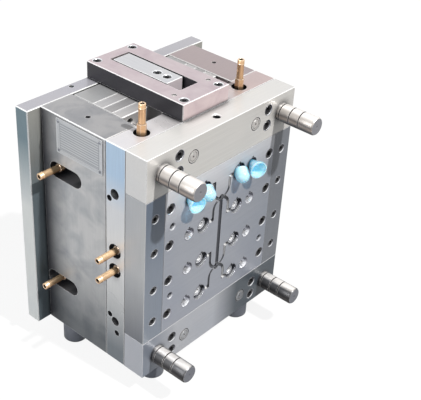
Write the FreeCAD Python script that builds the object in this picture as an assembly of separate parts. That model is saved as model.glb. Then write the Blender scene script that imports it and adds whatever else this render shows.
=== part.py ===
"""Ejector-side half of a 16-cavity injection mould, built as the real tool is bolted up.

Frame: +X to the right seen from the parting face, +Z up, the tool axis along Y.
The origin is the centre of the rear face of the clamping plate, on the ejector rod bore;
the parting face looks along -Y.  All sizes are in millimetres.
"""
import FreeCAD, Part
import math
import os

os.makedirs("parts", exist_ok=True)

# ---------------------------------------------------------------- driving dimensions
mould_w = 336.0            # width of the plates, X
mould_h = 400.0            # height of the plates, Z
edge_chamfer = 1.2         # broken edge of every ground plate
seam_chamfer = 0.7         # broken edge where the parting pieces meet

clamp_t = 27.0             # clamping plate thickness
clamp_lip = 26.0           # how far the clamping plate stands out past each side
spacer_depth = 138.0       # depth of the spacer blocks, Y
spacer_w = 61.0            # width of a spacer block, X
support_t = 40.0           # support plate thickness
parting_t = 41.0           # thickness of the layer that carries the cavities

insert_w = 255.0           # cavity insert, X
insert_h = 260.0           # cavity insert, Z

# ejector pack, front plate first
stroke = 28.0              # travel of the ejector pack
stop_gap = 3.0             # clearance left in front of the pack at full stroke
rest_t = 3.0               # rest buttons between pack and clamping plate
plate_t = 20.5             # pin plate, sleeve plate and backing plate
pack_side_gap = 1.0        # running gap between pack and spacer blocks
pack_top_gap = 0.5         # running gap under the limit bracket

# fits and clearances
run_gap = 0.3              # radial running clearance of what moves
screw_gap = 0.5            # radial clearance of a screw in its through hole
thread_gap = 0.05          # radial clearance drawn between a thread and its hole
head_gap = 1.0             # radial clearance round a screw head
press_gap = 0.0            # a dowel or bush fills its bore

# metric screws: head diameter, head height, key size
SCREWS = {5: (8.5, 5.0, 4.0), 6: (10.0, 6.0, 5.0), 8: (13.0, 8.0, 6.0),
          10: (16.0, 10.0, 8.0), 12: (18.0, 12.0, 10.0), 16: (24.0, 16.0, 14.0)}
key_depth = 0.55           # depth of the key socket as a share of the head
head_sink = 1.0            # how far a screw head lies under the face

# guide pins
guide_d = 30.0
guide_out = 70.0           # length in front of the parting face
guide_side = 32.5          # from the side of the mould
guide_share = 0.536        # place up the height of its bar
guide_head_d = 36.0
guide_head_t = 6.0
guide_groove_w = 1.8
guide_groove_t = 0.9
guide_grooves = (5.0, 24.0, 42.0)    # places of the oil grooves in front of the face
guide_lead = 2.5
guide_centre_d = 4.0

# return pins
return_d = 22.0
return_across = 0.4256     # place as a share of the half width
return_share = 0.55
return_head_d = 28.0
return_head_t = 8.0
centre_mark_d = 3.0

# cavities: four rows of mirrored pairs of groups, a big and a small cavity in each
rows = 4
row_pitch = 65.5
big_x = 39.8
small_x = 72.4
big_d = 25.8
big_depth = 13.0
small_d = 19.6
small_depth = 11.0
small_floor_d = 11.0
core_d = 19.0              # forms the inside of a cap
core_low = 5.0             # the core's top lies this far under the parting face
core_ring_d = 13.0         # ring groove in the top of each core
core_ring_w = 1.2
core_ring_t = 0.8
core_eye_d = 7.0           # dished eye in the top of each core
core_eye_t = 2.0
sleeve_d = 24.0
sleeve_head_d = 29.0
sleeve_head_t = 6.0
eject_d = 6.0
eject_head_d = 11.0
eject_head_t = 5.0
puller_d = 6.0             # runner puller pins under the two runner hubs

# runner
runner_w = 8.0
runner_end = 61.0          # half length of the straight runner
branch_w = 5.4
branch_r = 17.5            # bend of each branch; also the place of the gate pockets
gate_w = 7.0
gate_reach = 8.0
gate_slit = 2.0
hub_d = 13.0
hub_t = 2.2
vent_w = 4.0
vent_t = 1.0

# screws and dowels on the parting face
bar_screw = 10
bar_screw_back = 2.0       # off the middle between guide pin and return pin
bar_screw_share = (0.743, 0.357)
strip_screw = 8
strip_screw_off = 0.25     # off the middle of the strip
strip_screw_z = (95.0, 34.5)
insert_screw = 10
insert_screw_in = 11.9     # from the side of the insert
thread_in = 15.0           # thread engagement in the support plate
bar_thread_in = 9.0        # shorter, clear of the water bores behind the bars
dowel_d = 10.0
dowel_in = 17.1            # from the side of the insert
dowel_z = 65.0
dowel_low = 7.0
dowel_mouth = 1.5

# clamping plate, spacer blocks and pillars
long_screw = 16
long_screw_in = 28.0       # from the side of the mould
long_screw_end = 50.0      # from the end of the mould
long_screw_low = 50.0
long_thread = 24.0
tube_dowel_d = 24.0
tube_dowel_l = 30.0
rod_bore_d = 40.0
rod_thread_d = 16.0
rod_thread_t = 30.0
set_screw_d = 24.0
set_screw_t = 9.0
core_head_d = 23.5
core_head_t = 6.0
pillar_d = 30.0
pillar_end = 50.0          # from the end of the mould
pillar_screw = 8
pillar_thread = 16.0
pack_guide_d = 16.0
pack_guide_in = 18.0       # from the side of the pack
pack_guide_end = 68.0      # from the end of the mould
bush_d = 24.0
bush_flange_d = 28.0
bush_flange_t = 4.0
rest_d = 22.0
rest_in = 12.0             # from the side of the pack
rest_end = 93.0            # from the end of the mould
rest_low = 30.0
pack_screw_in = 17.0       # from the side of the pack
pack_screw_end = 13.5      # from the end of the mould
pack_screw_mouth = 1.5
pack_screw = 10

# slots through the near spacer block: distance behind which each ends, before the
# clamping plate, and how far its centre lies from the end of the mould, top and bottom
slot_h = 27.0
slot_l = 70.0
slot_rear = (16.0, 1.0)
slot_end = (96.5, 91.0)

# hose nipples
nipple_d = 11.0
nipple_bore = 6.5
nipple_thread = 12.0
nipple_thread_l = 12.0
nipple_hex = 13.0
nipple_hex_t = 8.0
nipple_lip = 0.4           # low bead near the end that holds the hose
lip_l = 5.0
water_d = 8.0
pocket_d = 25.0
pocket_t = 11.0
top_nipple_x = (-116.5, 101.0)
top_nipple_in = 20.0       # behind the front of the support plate
top_nipple_out = 47.0
top_hex_out = 21.0         # the hexagon's height above the plate
side_nipple_z = (17.0, -19.0)
side_nipple_in = 21.0      # behind the front of the support plate
side_nipple_out = 36.0
pack_nipple_in_y = 22.0    # in front of the rear of the pack
pack_nipple_end = (99.0, 92.5)
pack_nipple_out = 30.0
pack_nipple_in = 18.0
pack_hex_gap = 16.0        # the hexagon starts this deep in the slot

# holes in the side of the support plate: how far behind its front, height,
# diameter, depth; the first is the end of the water loop of the top nipples
side_hole_list = ((21.5, 118.0, 17.0, 16.0), (32.5, 107.0, 10.0, 22.0),
                  (32.0, -110.0, 10.0, 22.0), (20.0, -119.0, 16.0, 16.0),
                  (16.5, -141.0, 10.0, 22.0))
eye_thread_d = 12.0
eye_mouth_d = 15.0
eye_depth = 24.0
spacer_tap_in = 28.0       # from the side of the mould
spacer_tap_back = 66.0     # behind the front of the spacer blocks
spacer_tap_d = 8.0
clamp_tap_x = -91.0
clamp_tap_y = -8.5
tap_depth = 18.0

# limit bracket on top, and the block that travels in its window
bracket_w = 103.0
bracket_h = 28.3
bracket_front_gap = 0.5    # set back from the front of the support plate
bracket_screw = 8
bracket_screw_x = 38.5
bracket_screw_in = 10.5
bracket_dowel_d = 8.0
bracket_dowel_x = 38.0
bracket_dowel_in = 31.5    # behind the front of the support plate
window_w = 41.0
window_front_in = 36.0     # behind the front of the support plate
window_rear = -20.0
block_w = 35.0
block_rear_gap = 4.0
block_end_gap = 1.0        # left between block and window end at full stroke
block_low = 0.0            # block top against bracket top
block_screw = 8
block_step = 1.5           # the ends of the block clear the fixed plates by this step

# name plate and feet
label_w = 98.0
label_h = 58.0
label_t = 1.2
label_front = 5.4          # behind the front of the spacer block
label_top = 4.0            # under the top of the mould
label_radius = 2.0
rivet_d = 5.0
rivet_t = 1.4
rivet_in = 5.0
foot_d = 40.0
foot_h = 38.0
foot_chamfer = 2.5
foot_front_side = (52.0, 68.0)   # from the sides of the mould, near and far
foot_front_out = 12.5      # in front of the support plate
foot_rear_side = 23.0
foot_rear_out = 36.5       # in front of the clamping plate
foot_screw = 10
foot_sink = 10.0           # how deep the screw head lies in the foot
foot_screw_clear = 4.5     # metal left between a front foot screw and a bar screw
foot_thread_rear = 22.0

# moulded caps left in the top row
cap_d = 23.6
cap_tip_d = 22.4           # where the round end starts: the cap tapers to leave its mould
cap_wall = 2.0
cap_len = 22.0
cap_hole = 3.0
cup_rim_d = 29.0
cup_rim_t = 2.4            # upright band under the rim
cup_base_d = 12.0
cup_len = 24.0
cup_wall = 1.8
cap_seat = 0.3             # a cap's edge lies this close to the core or wall it leans on

# ---------------------------------------------------------------- places that follow
half_w = mould_w / 2
half_h = mould_h / 2
y_clamp = -clamp_t                         # front face of the clamping plate
y_spacer = y_clamp - spacer_depth          # front face of the spacer blocks
y_support = y_spacer - support_t           # front face of the support plate
y_part = y_support - parting_t             # parting face
y_pack_r = y_clamp - rest_t                # rear face of the ejector pack
y_pin = y_spacer + stroke + stop_gap       # front face of the pin plate
y_sleeve = y_pin + plate_t                 # front face of the sleeve plate
y_backing = y_sleeve + plate_t             # front face of the backing plate
y_base = y_backing + plate_t               # front face of the base plate
pack_w = mould_w / 2 - spacer_w - pack_side_gap
pack_h = half_h - pack_top_gap
row_z = [(k - (rows - 1) / 2) * row_pitch for k in range(rows)]
top_row = row_z[-1]
bar_h = half_h - insert_h / 2              # height of the top and bottom bars


def up_bar(share):
    """Height of a place at this share of the top bar."""
    return insert_h / 2 + share * bar_h


guide_x = half_w - guide_side
guide_z = up_bar(guide_share)
return_x = return_across * half_w
return_z = up_bar(return_share)
bar_screw_x = (guide_x + return_x) / 2 - bar_screw_back
bar_screw_z = tuple(up_bar(share) for share in bar_screw_share)
strip_screw_x = (half_w + insert_w / 2) / 2 + strip_screw_off
insert_screw_x = insert_w / 2 - insert_screw_in
dowel_x = insert_w / 2 - dowel_in
long_screw_x = half_w - long_screw_in
long_screw_z = (half_h - long_screw_end, long_screw_low)
tube_dowel_z = sum(long_screw_z) / 2
pillar_z = (row_pitch, half_h - pillar_end)
pack_guide_x = pack_w - pack_guide_in
pack_guide_z = half_h - pack_guide_end
rest_x = pack_w - rest_in
rest_z = (half_h - rest_end, rest_low)
pack_screw_x = pack_w - pack_screw_in
pack_screw_z = (row_pitch, half_h - pack_screw_end)
slots = tuple((y_clamp - back - slot_l, y_clamp - back, side * (half_h - end))
              for back, end, side in zip(slot_rear, slot_end, (1, -1)))
top_nipple_y = y_support + top_nipple_in
side_nipple_y = y_support + side_nipple_in
pack_nipple_y = y_pack_r - pack_nipple_in_y
pack_nipple_z = tuple(side * (half_h - end) for end, side in zip(pack_nipple_end, (1, -1)))
pack_hex_x = half_w - pack_hex_gap
side_holes = tuple((y_support + back, z, d, depth) for back, z, d, depth in side_hole_list)
spacer_tap_x = half_w - spacer_tap_in
spacer_tap_y = y_spacer + spacer_tap_back
bracket_dowel_y = y_support + bracket_dowel_in
window_front = y_support + window_front_in
block_screw_y = ((y_pin + y_sleeve) / 2, (y_sleeve + y_backing) / 2)
label_y = y_spacer + label_front + label_w / 2
label_z = half_h - label_top - label_h / 2
foot_front_x = (foot_front_side[0] - half_w, half_w - foot_front_side[1])
foot_front_y = y_support - foot_front_out
foot_rear_x = (foot_rear_side - half_w, half_w - foot_rear_side)
foot_rear_y = y_clamp - foot_rear_out
foot_thread_front = half_h - bar_screw_z[0] - bar_screw / 2 - screw_gap - foot_screw_clear
hub_z = (row_pitch, -row_pitch)
both = (-1, 1)


# ---------------------------------------------------------------- helpers
def vec(x, y, z):
    return FreeCAD.Vector(x, y, z)


def plate(x0, x1, y0, y1, z0, z1, chamfer=edge_chamfer):
    """A rectangular plate with all its edges broken."""
    body = Part.makeBox(x1 - x0, y1 - y0, z1 - z0, vec(x0, y0, z0))
    return body.makeChamfer(chamfer, body.Edges) if chamfer else body


def rod_y(x, z, d, y0, y1):
    return Part.makeCylinder(d / 2, y1 - y0, vec(x, y0, z), vec(0, 1, 0))


def rod_x(y, z, d, x0, x1):
    return Part.makeCylinder(d / 2, x1 - x0, vec(x0, y, z), vec(1, 0, 0))


def rod_z(x, y, d, z0, z1):
    return Part.makeCylinder(d / 2, z1 - z0, vec(x, y, z0))


def cone(d0, d1, length, base, along):
    return Part.makeCone(d0 / 2, d1 / 2, length, base, along)


def mouth_y(x, z, d, c, y_face, inward):
    """Countersink of width c round a hole of diameter d, cut from a face at y_face."""
    return cone(d + 2 * c, d, c, vec(x, y_face, z), vec(0, inward, 0))


def hexagon(af, length):
    """Six-sided prism along +Z from the origin."""
    r = af / math.sqrt(3)
    pts = [vec(r * math.cos(math.radians(60 * k)), r * math.sin(math.radians(60 * k)), 0)
           for k in range(7)]
    return Part.Face(Part.makePolygon(pts)).extrude(vec(0, 0, length))


def revolved(points):
    """Solid of revolution about Z from (radius, height) points."""
    wire = Part.makePolygon([vec(r, 0, h) for r, h in points] + [vec(points[0][0], 0, points[0][1])])
    return Part.Face(wire).revolve(vec(0, 0, 0), vec(0, 0, 1), 360)


def put(shape, pos, out):
    """A copy of a shape made along +Z, turned so that +Z points along out."""
    turned = shape.copy()
    turned.Placement = FreeCAD.Placement(pos, FreeCAD.Rotation(vec(0, 0, 1), out))
    return turned


def cap_screw(size, reach):
    """Socket head screw, top of the head at the origin, shank down to -reach."""
    head_d, head_h, key = SCREWS[size]
    c = 0.06 * head_d
    body = revolved([(0, 0), (head_d / 2 - c, 0), (head_d / 2, -c), (head_d / 2, -head_h),
                     (size / 2, -head_h), (size / 2, -reach + c), (size / 2 - c, -reach),
                     (0, -reach)])
    depth = key_depth * head_h
    return body.cut(hexagon(key, depth + 1).translated(vec(0, 0, -depth)))


def screw_hole(size, sink, through, thread=0.0, open_up=1.0):
    """Hole for a cap screw along -Z from a face at 0: head pocket, shank, thread."""
    head_d, head_h, key = SCREWS[size]
    pocket = sink + head_h
    tools = [Part.makeCylinder(head_d / 2 + head_gap, pocket + open_up, vec(0, 0, -pocket))]
    if through > pocket:
        tools.append(Part.makeCylinder(size / 2 + screw_gap, through - pocket,
                                       vec(0, 0, -through)))
    if thread:
        tools.append(Part.makeCylinder(size / 2 + thread_gap, thread, vec(0, 0, -through - thread)))
    return tools[0].fuse(tools[1:]) if len(tools) > 1 else tools[0]


def thread_hole(size, depth, pos, inward):
    """Tapped hole from a face; its end is a drill point."""
    d = size + 2 * thread_gap
    hole = Part.makeCylinder(d / 2, depth, vec(0, 0, 0))
    tip = Part.makeCone(d / 2, 0, d * 0.3, vec(0, 0, depth))
    return put(hole.fuse(tip), pos, inward)


def export(node, solids):
    shapes = solids if isinstance(solids, list) else [solids]
    flat = []
    for s in shapes:
        flat.extend(s.Solids)
    shape = flat[0] if len(flat) == 1 else Part.makeCompound(flat)
    shape.exportStep("parts/%s.step" % node)
    bad = [s for s in flat if not s.isValid()]
    print("%-26s solids %3d  volume %12.1f %s" % (node, len(flat), shape.Volume,
                                                 "INVALID" if bad else ""))


def corners(xs, zs):
    """Every mirrored place for the given distances from the centre."""
    return [(sx * x, sz * z) for x in xs for z in zs for sx in both for sz in both]


# ---------------------------------------------------------------- places of the fasteners
front = vec(0, -1, 0)
rear = vec(0, 1, 0)
up = vec(0, 0, 1)
down = vec(0, 0, -1)
left = vec(-1, 0, 0)
right = vec(1, 0, 0)
bar_places = corners([bar_screw_x], bar_screw_z)
strip_places = corners([strip_screw_x], strip_screw_z)
insert_places = [(s * insert_screw_x, z) for s in both for z in row_z]
dowel_places = [(-dowel_x, dowel_z), (-dowel_x, -dowel_z), (dowel_x, -dowel_z)]
guide_places = corners([guide_x], [guide_z])
return_places = corners([return_x], [return_z])
big_places = [(s * big_x, z) for z in row_z for s in both]
small_places = [(s * small_x, z) for z in row_z for s in both]
long_places = corners([long_screw_x], long_screw_z)
tube_places = corners([long_screw_x], [tube_dowel_z])
pillar_places = [(0.0, s * z) for z in pillar_z for s in both]
pack_guide_places = corners([pack_guide_x], [pack_guide_z])
rest_places = corners([rest_x], rest_z)
pack_screw_places = corners([pack_screw_x], pack_screw_z)
foot_places = ([(x, foot_front_y, foot_thread_front) for x in foot_front_x]
               + [(x, foot_rear_y, foot_thread_rear) for x in foot_rear_x])
y_bracket = y_support + bracket_front_gap
bracket_screw_places = [(s * bracket_screw_x, y) for s in both
                        for y in (-bracket_screw_in, y_bracket + bracket_screw_in)]
bracket_dowel_places = [(s * bracket_dowel_x, bracket_dowel_y) for s in both]
block_front = window_front + stroke + block_end_gap
block_rear = window_rear - block_rear_gap


def layer_screws(size, places):
    """Holes through the parting layer for screws that thread into the support plate."""
    return [put(screw_hole(size, head_sink, parting_t + 1), vec(x, y_part, z), front)
            for x, z in places]


# ---------------------------------------------------------------- clamping plate
def clamping_plate():
    half = half_w + clamp_lip
    body = plate(-half, half, y_clamp, 0, -half_h, half_h)
    cuts = [rod_y(0, 0, rod_bore_d, y_clamp - 1, 1)]
    cuts += [put(screw_hole(long_screw, head_sink, clamp_t + 1), vec(x, 0, z), rear)
             for x, z in long_places]
    cuts += [put(screw_hole(pillar_screw, head_sink, clamp_t + 1), vec(x, 0, z), rear)
             for x, z in pillar_places]
    for x, z in big_places:
        cuts.append(rod_y(x, z, core_d + 2 * thread_gap, y_clamp - 1, 0))
        cuts.append(rod_y(x, z, set_screw_d + 2 * thread_gap,
                          -head_sink - set_screw_t - core_head_t, 1))
    cuts += [rod_y(x, z, pack_guide_d, y_clamp - 1, y_clamp + 12) for x, z in pack_guide_places]
    cuts += [rod_y(x, z, tube_dowel_d, y_clamp - 1, y_clamp + tube_dowel_l / 2)
             for x, z in tube_places]
    cuts += [thread_hole(5, 12, vec(x, y_clamp, z), rear) for x, z in rest_places]
    cuts.append(thread_hole(spacer_tap_d, tap_depth, vec(clamp_tap_x, clamp_tap_y, half_h), down))
    for x, y in bracket_screw_places:
        if y > y_clamp:
            cuts.append(thread_hole(bracket_screw, tap_depth, vec(x, y, half_h), down))
    return body.cut(cuts)


# ---------------------------------------------------------------- spacer blocks
def spacer_block(side):
    x0, x1 = sorted((side * half_w, side * (half_w - spacer_w)))
    body = plate(x0, x1, y_spacer, y_clamp, -half_h, half_h)
    cuts = [rod_y(x, z, long_screw + 2 * screw_gap, y_spacer - 1, y_clamp + 1)
            for x, z in long_places if x * side > 0]
    for x, z in tube_places:
        if x * side > 0:
            cuts.append(rod_y(x, z, tube_dowel_d, y_clamp - tube_dowel_l / 2, y_clamp + 1))
            cuts.append(rod_y(x, z, tube_dowel_d, y_spacer - 1, y_spacer + tube_dowel_l / 2))
    cuts.append(thread_hole(spacer_tap_d, tap_depth,
                            vec(side * spacer_tap_x, spacer_tap_y, half_h), down))
    cuts += [thread_hole(foot_screw, reach + 1, vec(x, y, -half_h), up)
             for x, y, reach in foot_places if x * side > 0 and y > y_spacer]
    if side < 0:
        cuts += [slot_tool(y0, y1, z) for y0, y1, z in slots]
        for y, z in rivet_places():
            cuts.append(rod_x(y, z, rivet_d / 2, -half_w - 1, -half_w + 6))
    return body.cut(cuts)


def slot_tool(y0, y1, z):
    """Round-ended slot through the near spacer block, with its mouth broken."""
    r = slot_h / 2
    long = y1 - y0 - 2 * r

    def obround(radius, x0, x1):
        mid = Part.makeBox(x1 - x0, long, 2 * radius, vec(x0, y0 + r, z - radius))
        ends = [rod_x(y0 + r, z, 2 * radius, x0, x1), rod_x(y1 - r, z, 2 * radius, x0, x1)]
        return mid.fuse(ends).removeSplitter()

    return obround(r, -half_w - 1, -half_w + spacer_w + 1)


def rivet_places():
    y = label_w / 2 - rivet_in
    z = label_h / 2 - rivet_in
    return [(label_y + sy * y, label_z + sz * z) for sy in both for sz in both]


# ---------------------------------------------------------------- support plate
def support_plate():
    body = plate(-half_w, half_w, y_support, y_spacer, -half_h, half_h)
    cuts = []
    for size, places, reach in ((bar_screw, bar_places, bar_thread_in),
                                (strip_screw, strip_places, thread_in),
                                (insert_screw, insert_places, thread_in)):
        cuts += [thread_hole(size, reach + 1, vec(x, y_support, z), rear) for x, z in places]
    cuts += [rod_y(x, z, dowel_d, y_support - 1, y_support + thread_in) for x, z in dowel_places]
    cuts += [rod_y(x, z, return_d + 2 * run_gap, y_support - 1, y_spacer + 1)
             for x, z in return_places]
    cuts += [rod_y(x, z, sleeve_d + 2 * run_gap, y_support - 1, y_spacer + 1)
             for x, z in big_places]
    cuts += [rod_y(x, z, eject_d + 2 * run_gap, y_support - 1, y_spacer + 1)
             for x, z in small_places]
    cuts += [rod_y(0, z, puller_d + 2 * run_gap, y_support - 1, y_spacer + 1) for z in hub_z]
    cuts += [thread_hole(long_screw, long_thread + 1, vec(x, y_spacer, z), front)
             for x, z in long_places]
    cuts += [rod_y(x, z, tube_dowel_d, y_spacer - tube_dowel_l / 2, y_spacer + 1)
             for x, z in tube_places]
    cuts += [rod_y(x, z, pack_guide_d, y_spacer - 12, y_spacer + 1) for x, z in pack_guide_places]
    # water: a loop behind the top nipples, a second one behind the side nipples
    loop_y, loop_z, loop_d, loop_t = side_holes[0]
    near_x, far_x = top_nipple_x
    cuts.append(rod_x(loop_y, loop_z, water_d, -half_w, far_x + water_d / 2))
    for x in top_nipple_x:
        cuts.append(rod_z(x, top_nipple_y, pocket_d, half_h - pocket_t, half_h + 1))
        cuts.append(rod_z(x, top_nipple_y, nipple_thread + 2 * thread_gap,
                          half_h - pocket_t - nipple_thread_l - 1, half_h))
        cuts.append(rod_z(x, top_nipple_y, water_d, loop_z - water_d / 2, half_h - pocket_t))
    turn_x = half_w - spacer_w / 2
    for z in side_nipple_z:
        cuts.append(rod_x(side_nipple_y, z, pocket_d, -half_w - 1, -half_w + pocket_t))
        cuts.append(rod_x(side_nipple_y, z, nipple_thread + 2 * thread_gap, -half_w,
                          -half_w + pocket_t + nipple_thread_l + 1))
        cuts.append(rod_x(side_nipple_y, z, water_d, -half_w + pocket_t, turn_x + water_d / 2))
    z_top, z_low = side_nipple_z
    cuts.append(rod_z(turn_x, side_nipple_y, water_d, z_low, z_top))
    for y, z, d, depth in side_holes:
        cuts.append(put(Part.makeCylinder(d / 2, depth).fuse(
            Part.makeCone(d / 2, 0, d * 0.3, vec(0, 0, depth))), vec(-half_w, y, z), right))
    for x, y in bracket_screw_places:
        if y < y_spacer:
            cuts.append(thread_hole(bracket_screw, tap_depth, vec(x, y, half_h), down))
    cuts += [rod_z(x, y, bracket_dowel_d, half_h - tap_depth, half_h + 1)
             for x, y in bracket_dowel_places]
    return body.cut(cuts)


# ---------------------------------------------------------------- parting layer
def parting_bar(side):
    """Top or bottom bar of the parting layer, carrying guide pins and return pins."""
    z0, z1 = sorted((side * half_h, side * insert_h / 2))
    body = plate(-half_w, half_w, y_part, y_support, z0, z1, seam_chamfer)
    cuts = layer_screws(bar_screw, [p for p in bar_places if p[1] * side > 0])
    for x, z in guide_places:
        if z * side > 0:
            cuts.append(rod_y(x, z, guide_d, y_part - 1, y_support + 1))
            cuts.append(rod_y(x, z, guide_head_d + 1, y_support - guide_head_t, y_support + 1))
    for x, z in return_places:
        if z * side > 0:
            cuts.append(rod_y(x, z, return_d + 2 * run_gap, y_part - 1, y_support + 1))
    y_mid = (y_part + y_support) / 2
    if side > 0:
        cuts.append(rod_z(0, y_mid, eye_thread_d, half_h - eye_depth, half_h + 1))
        cuts.append(cone(eye_thread_d, eye_mouth_d + 2, (eye_mouth_d + 2 - eye_thread_d) / 2,
                         vec(0, y_mid, half_h - (eye_mouth_d - eye_thread_d) / 2), up))
    else:
        cuts += [thread_hole(foot_screw, reach + 1, vec(x, y, -half_h), up)
                 for x, y, reach in foot_places if y < y_support]
    return body.cut(cuts)


def side_strip(side):
    x0, x1 = sorted((side * half_w, side * insert_w / 2))
    body = plate(x0, x1, y_part, y_support, -insert_h / 2, insert_h / 2, seam_chamfer)
    return body.cut(layer_screws(strip_screw, [p for p in strip_places if p[0] * side > 0]))


# ---------------------------------------------------------------- cavity insert
def groove(points, width):
    """Half-round channel in the parting face along a line or an arc."""
    edge = (Part.Arc(*points).toShape() if len(points) == 3
            else Part.LineSegment(*points).toShape())
    start = edge.valueAt(edge.FirstParameter)
    along = edge.tangentAt(edge.FirstParameter)
    ring = Part.Wire(Part.makeCircle(width / 2, start, along))
    return Part.Wire(edge).makePipeShell([ring], True, False)


def branch(side, hub, way):
    """Channel from a runner hub round a bend to one gate pocket, and its gate."""
    y = y_part
    x = side * branch_r
    z_end = hub + way * row_pitch / 2
    bend = 1 - math.sqrt(0.5)
    mid = vec(x * math.sqrt(0.5), y, hub + way * branch_r * bend)
    corner = vec(x, y, hub + way * branch_r)
    pocket_end = side * (branch_r + gate_reach)
    wall = side * (big_x - big_d / 2 + 1)
    g0, g1 = sorted((pocket_end, wall))
    return [groove([vec(0, y, hub), mid, corner], branch_w),
            groove([corner, vec(x, y, z_end)], branch_w),
            groove([vec(x - side * gate_w / 3, y, z_end), vec(pocket_end, y, z_end)], gate_w),
            Part.makeBox(g1 - g0, 2, gate_slit, vec(g0, y - 1, z_end - gate_slit / 2))]


def cavity_insert():
    body = plate(-insert_w / 2, insert_w / 2, y_part, y_support, -insert_h / 2, insert_h / 2,
                 seam_chamfer)
    cuts = layer_screws(insert_screw, insert_places)
    for x, z in dowel_places:
        cuts.append(rod_y(x, z, dowel_d, y_part - 1, y_support + 1))
        cuts.append(mouth_y(x, z, dowel_d, dowel_mouth, y_part, 1))
    for x, z in big_places:
        cuts.append(rod_y(x, z, big_d, y_part - 1, y_part + big_depth))
        cuts.append(rod_y(x, z, sleeve_d + 2 * run_gap, y_part, y_support + 1))
        cuts.append(Part.makeBox(vent_w, vent_t + 1, 4,
                                 vec(x - vent_w / 2, y_part - 1, z + big_d / 2 - 1)))
    for x, z in small_places:
        cuts.append(cone(small_d, small_floor_d, small_depth, vec(x, y_part, z), rear))
        cuts.append(rod_y(x, z, eject_d + 2 * run_gap, y_part, y_support + 1))
        cuts.append(Part.makeBox(vent_w, vent_t + 1, 4,
                                 vec(x - vent_w / 2, y_part - 1, z + small_d / 2 - 1)))
    for hub in hub_z:
        cuts.append(rod_y(0, hub, puller_d + 2 * run_gap, y_part, y_support + 1))
        cuts.append(rod_y(0, hub, hub_d, y_part - 1, y_part + hub_t))
    body = body.cut(cuts)
    channels = [groove([vec(0, y_part, -runner_end), vec(0, y_part, runner_end)], runner_w)]
    for hub in hub_z:
        for side in both:
            for way in both:
                channels += branch(side, hub, way)
    for channel in channels:
        body = body.cut(channel)
    return body


# ---------------------------------------------------------------- pins
def guide_pin():
    """Leader pin along +Z: head at the back, oil grooves and a broken tip in front."""
    r = guide_d / 2
    back = -parting_t
    pts = [(0, back), (guide_head_d / 2, back), (guide_head_d / 2, back + guide_head_t),
           (r, back + guide_head_t)]
    for at in guide_grooves:
        pts += [(r, at), (r - guide_groove_t, at + 0.3), (r - guide_groove_t, at + guide_groove_w),
                (r, at + guide_groove_w + 0.3)]
    pts += [(r, guide_out - guide_lead), (r - guide_lead * 0.6, guide_out),
            (guide_centre_d / 2, guide_out), (0, guide_out - guide_centre_d / 2)]
    return revolved(pts)


def headed_pin(d, head_d, head_t, length, mark):
    """Ejector or return pin along +Z, its head from 0 upwards, tip at length."""
    pts = [(0, 0), (head_d / 2, 0), (head_d / 2, head_t), (d / 2, head_t), (d / 2, length)]
    pts += [(mark / 2, length), (0, length - mark / 2)] if mark else [(0, length)]
    return revolved(pts)


def ejector_sleeve():
    """Sleeve along +Z from the back of its head to the floor of the cavity."""
    length = y_backing - (y_part + big_depth)
    inner = core_d / 2 + run_gap
    return revolved([(inner, 0), (sleeve_head_d / 2, 0), (sleeve_head_d / 2, sleeve_head_t),
                     (sleeve_d / 2, sleeve_head_t), (sleeve_d / 2, length), (inner, length)])


def core_pin():
    """Core along +Z: head in the clamping plate, ring groove and dished eye in the tip."""
    length = -head_sink - set_screw_t - (y_part + core_low)
    r = core_d / 2
    ring = core_ring_d / 2
    return revolved([(0, 0), (core_head_d / 2, 0), (core_head_d / 2, core_head_t),
                     (r, core_head_t), (r, length - 1), (r - 1, length),
                     (ring + core_ring_w / 2, length),
                     (ring + core_ring_w / 2, length - core_ring_t),
                     (ring - core_ring_w / 2, length - core_ring_t),
                     (ring - core_ring_w / 2, length),
                     (core_eye_d / 2, length), (core_eye_d / 2 - 1, length - core_eye_t),
                     (0, length - core_eye_t)])


# ---------------------------------------------------------------- ejector pack
def pack_plate(y0, y1):
    return plate(-pack_w, pack_w, y0, y1, -pack_h, pack_h)


def pack_clear(y0, y1, sleeves=True):
    """What passes through every plate of the pack."""
    a, b = y0 - 1, y1 + 1
    cuts = [rod_y(x, z, pillar_d + 4, a, b) for x, z in pillar_places]
    if not sleeves:
        cuts += [rod_y(x, z, core_d + 4 * run_gap, a, b) for x, z in big_places]
    return cuts


def pin_plate():
    body = pack_plate(y_pin, y_sleeve)
    cuts = pack_clear(y_pin, y_sleeve)
    for places, d, head_d, head_t in ((return_places, return_d, return_head_d, return_head_t),
                                      (small_places, eject_d, eject_head_d, eject_head_t),
                                      ([(0, z) for z in hub_z], 0, 0, 0)):
        for x, z in places:
            if d:
                cuts.append(rod_y(x, z, d + 2 * thread_gap, y_pin - 1, y_sleeve))
                cuts.append(rod_y(x, z, head_d + 1, y_sleeve - head_t, y_sleeve + 1))
    cuts += [rod_y(x, z, sleeve_d + 2 * thread_gap, y_pin - 1, y_sleeve + 1)
             for x, z in big_places]
    cuts += [rod_y(x, z, bush_d, y_pin - 1, y_sleeve + 1) for x, z in pack_guide_places]
    for x, z in pack_screw_places:
        cuts.append(rod_y(x, z, pack_screw + 2 * thread_gap, y_pin - 1, y_sleeve + 1))
        cuts.append(mouth_y(x, z, pack_screw, pack_screw_mouth, y_pin, 1))
    cuts += block_taps(y_pin, y_sleeve)
    return body.cut(cuts)


def block_taps(y0, y1):
    return [thread_hole(block_screw, tap_depth, vec(0, y, pack_h), down)
            for y in block_screw_y if y0 < y < y1]


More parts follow.
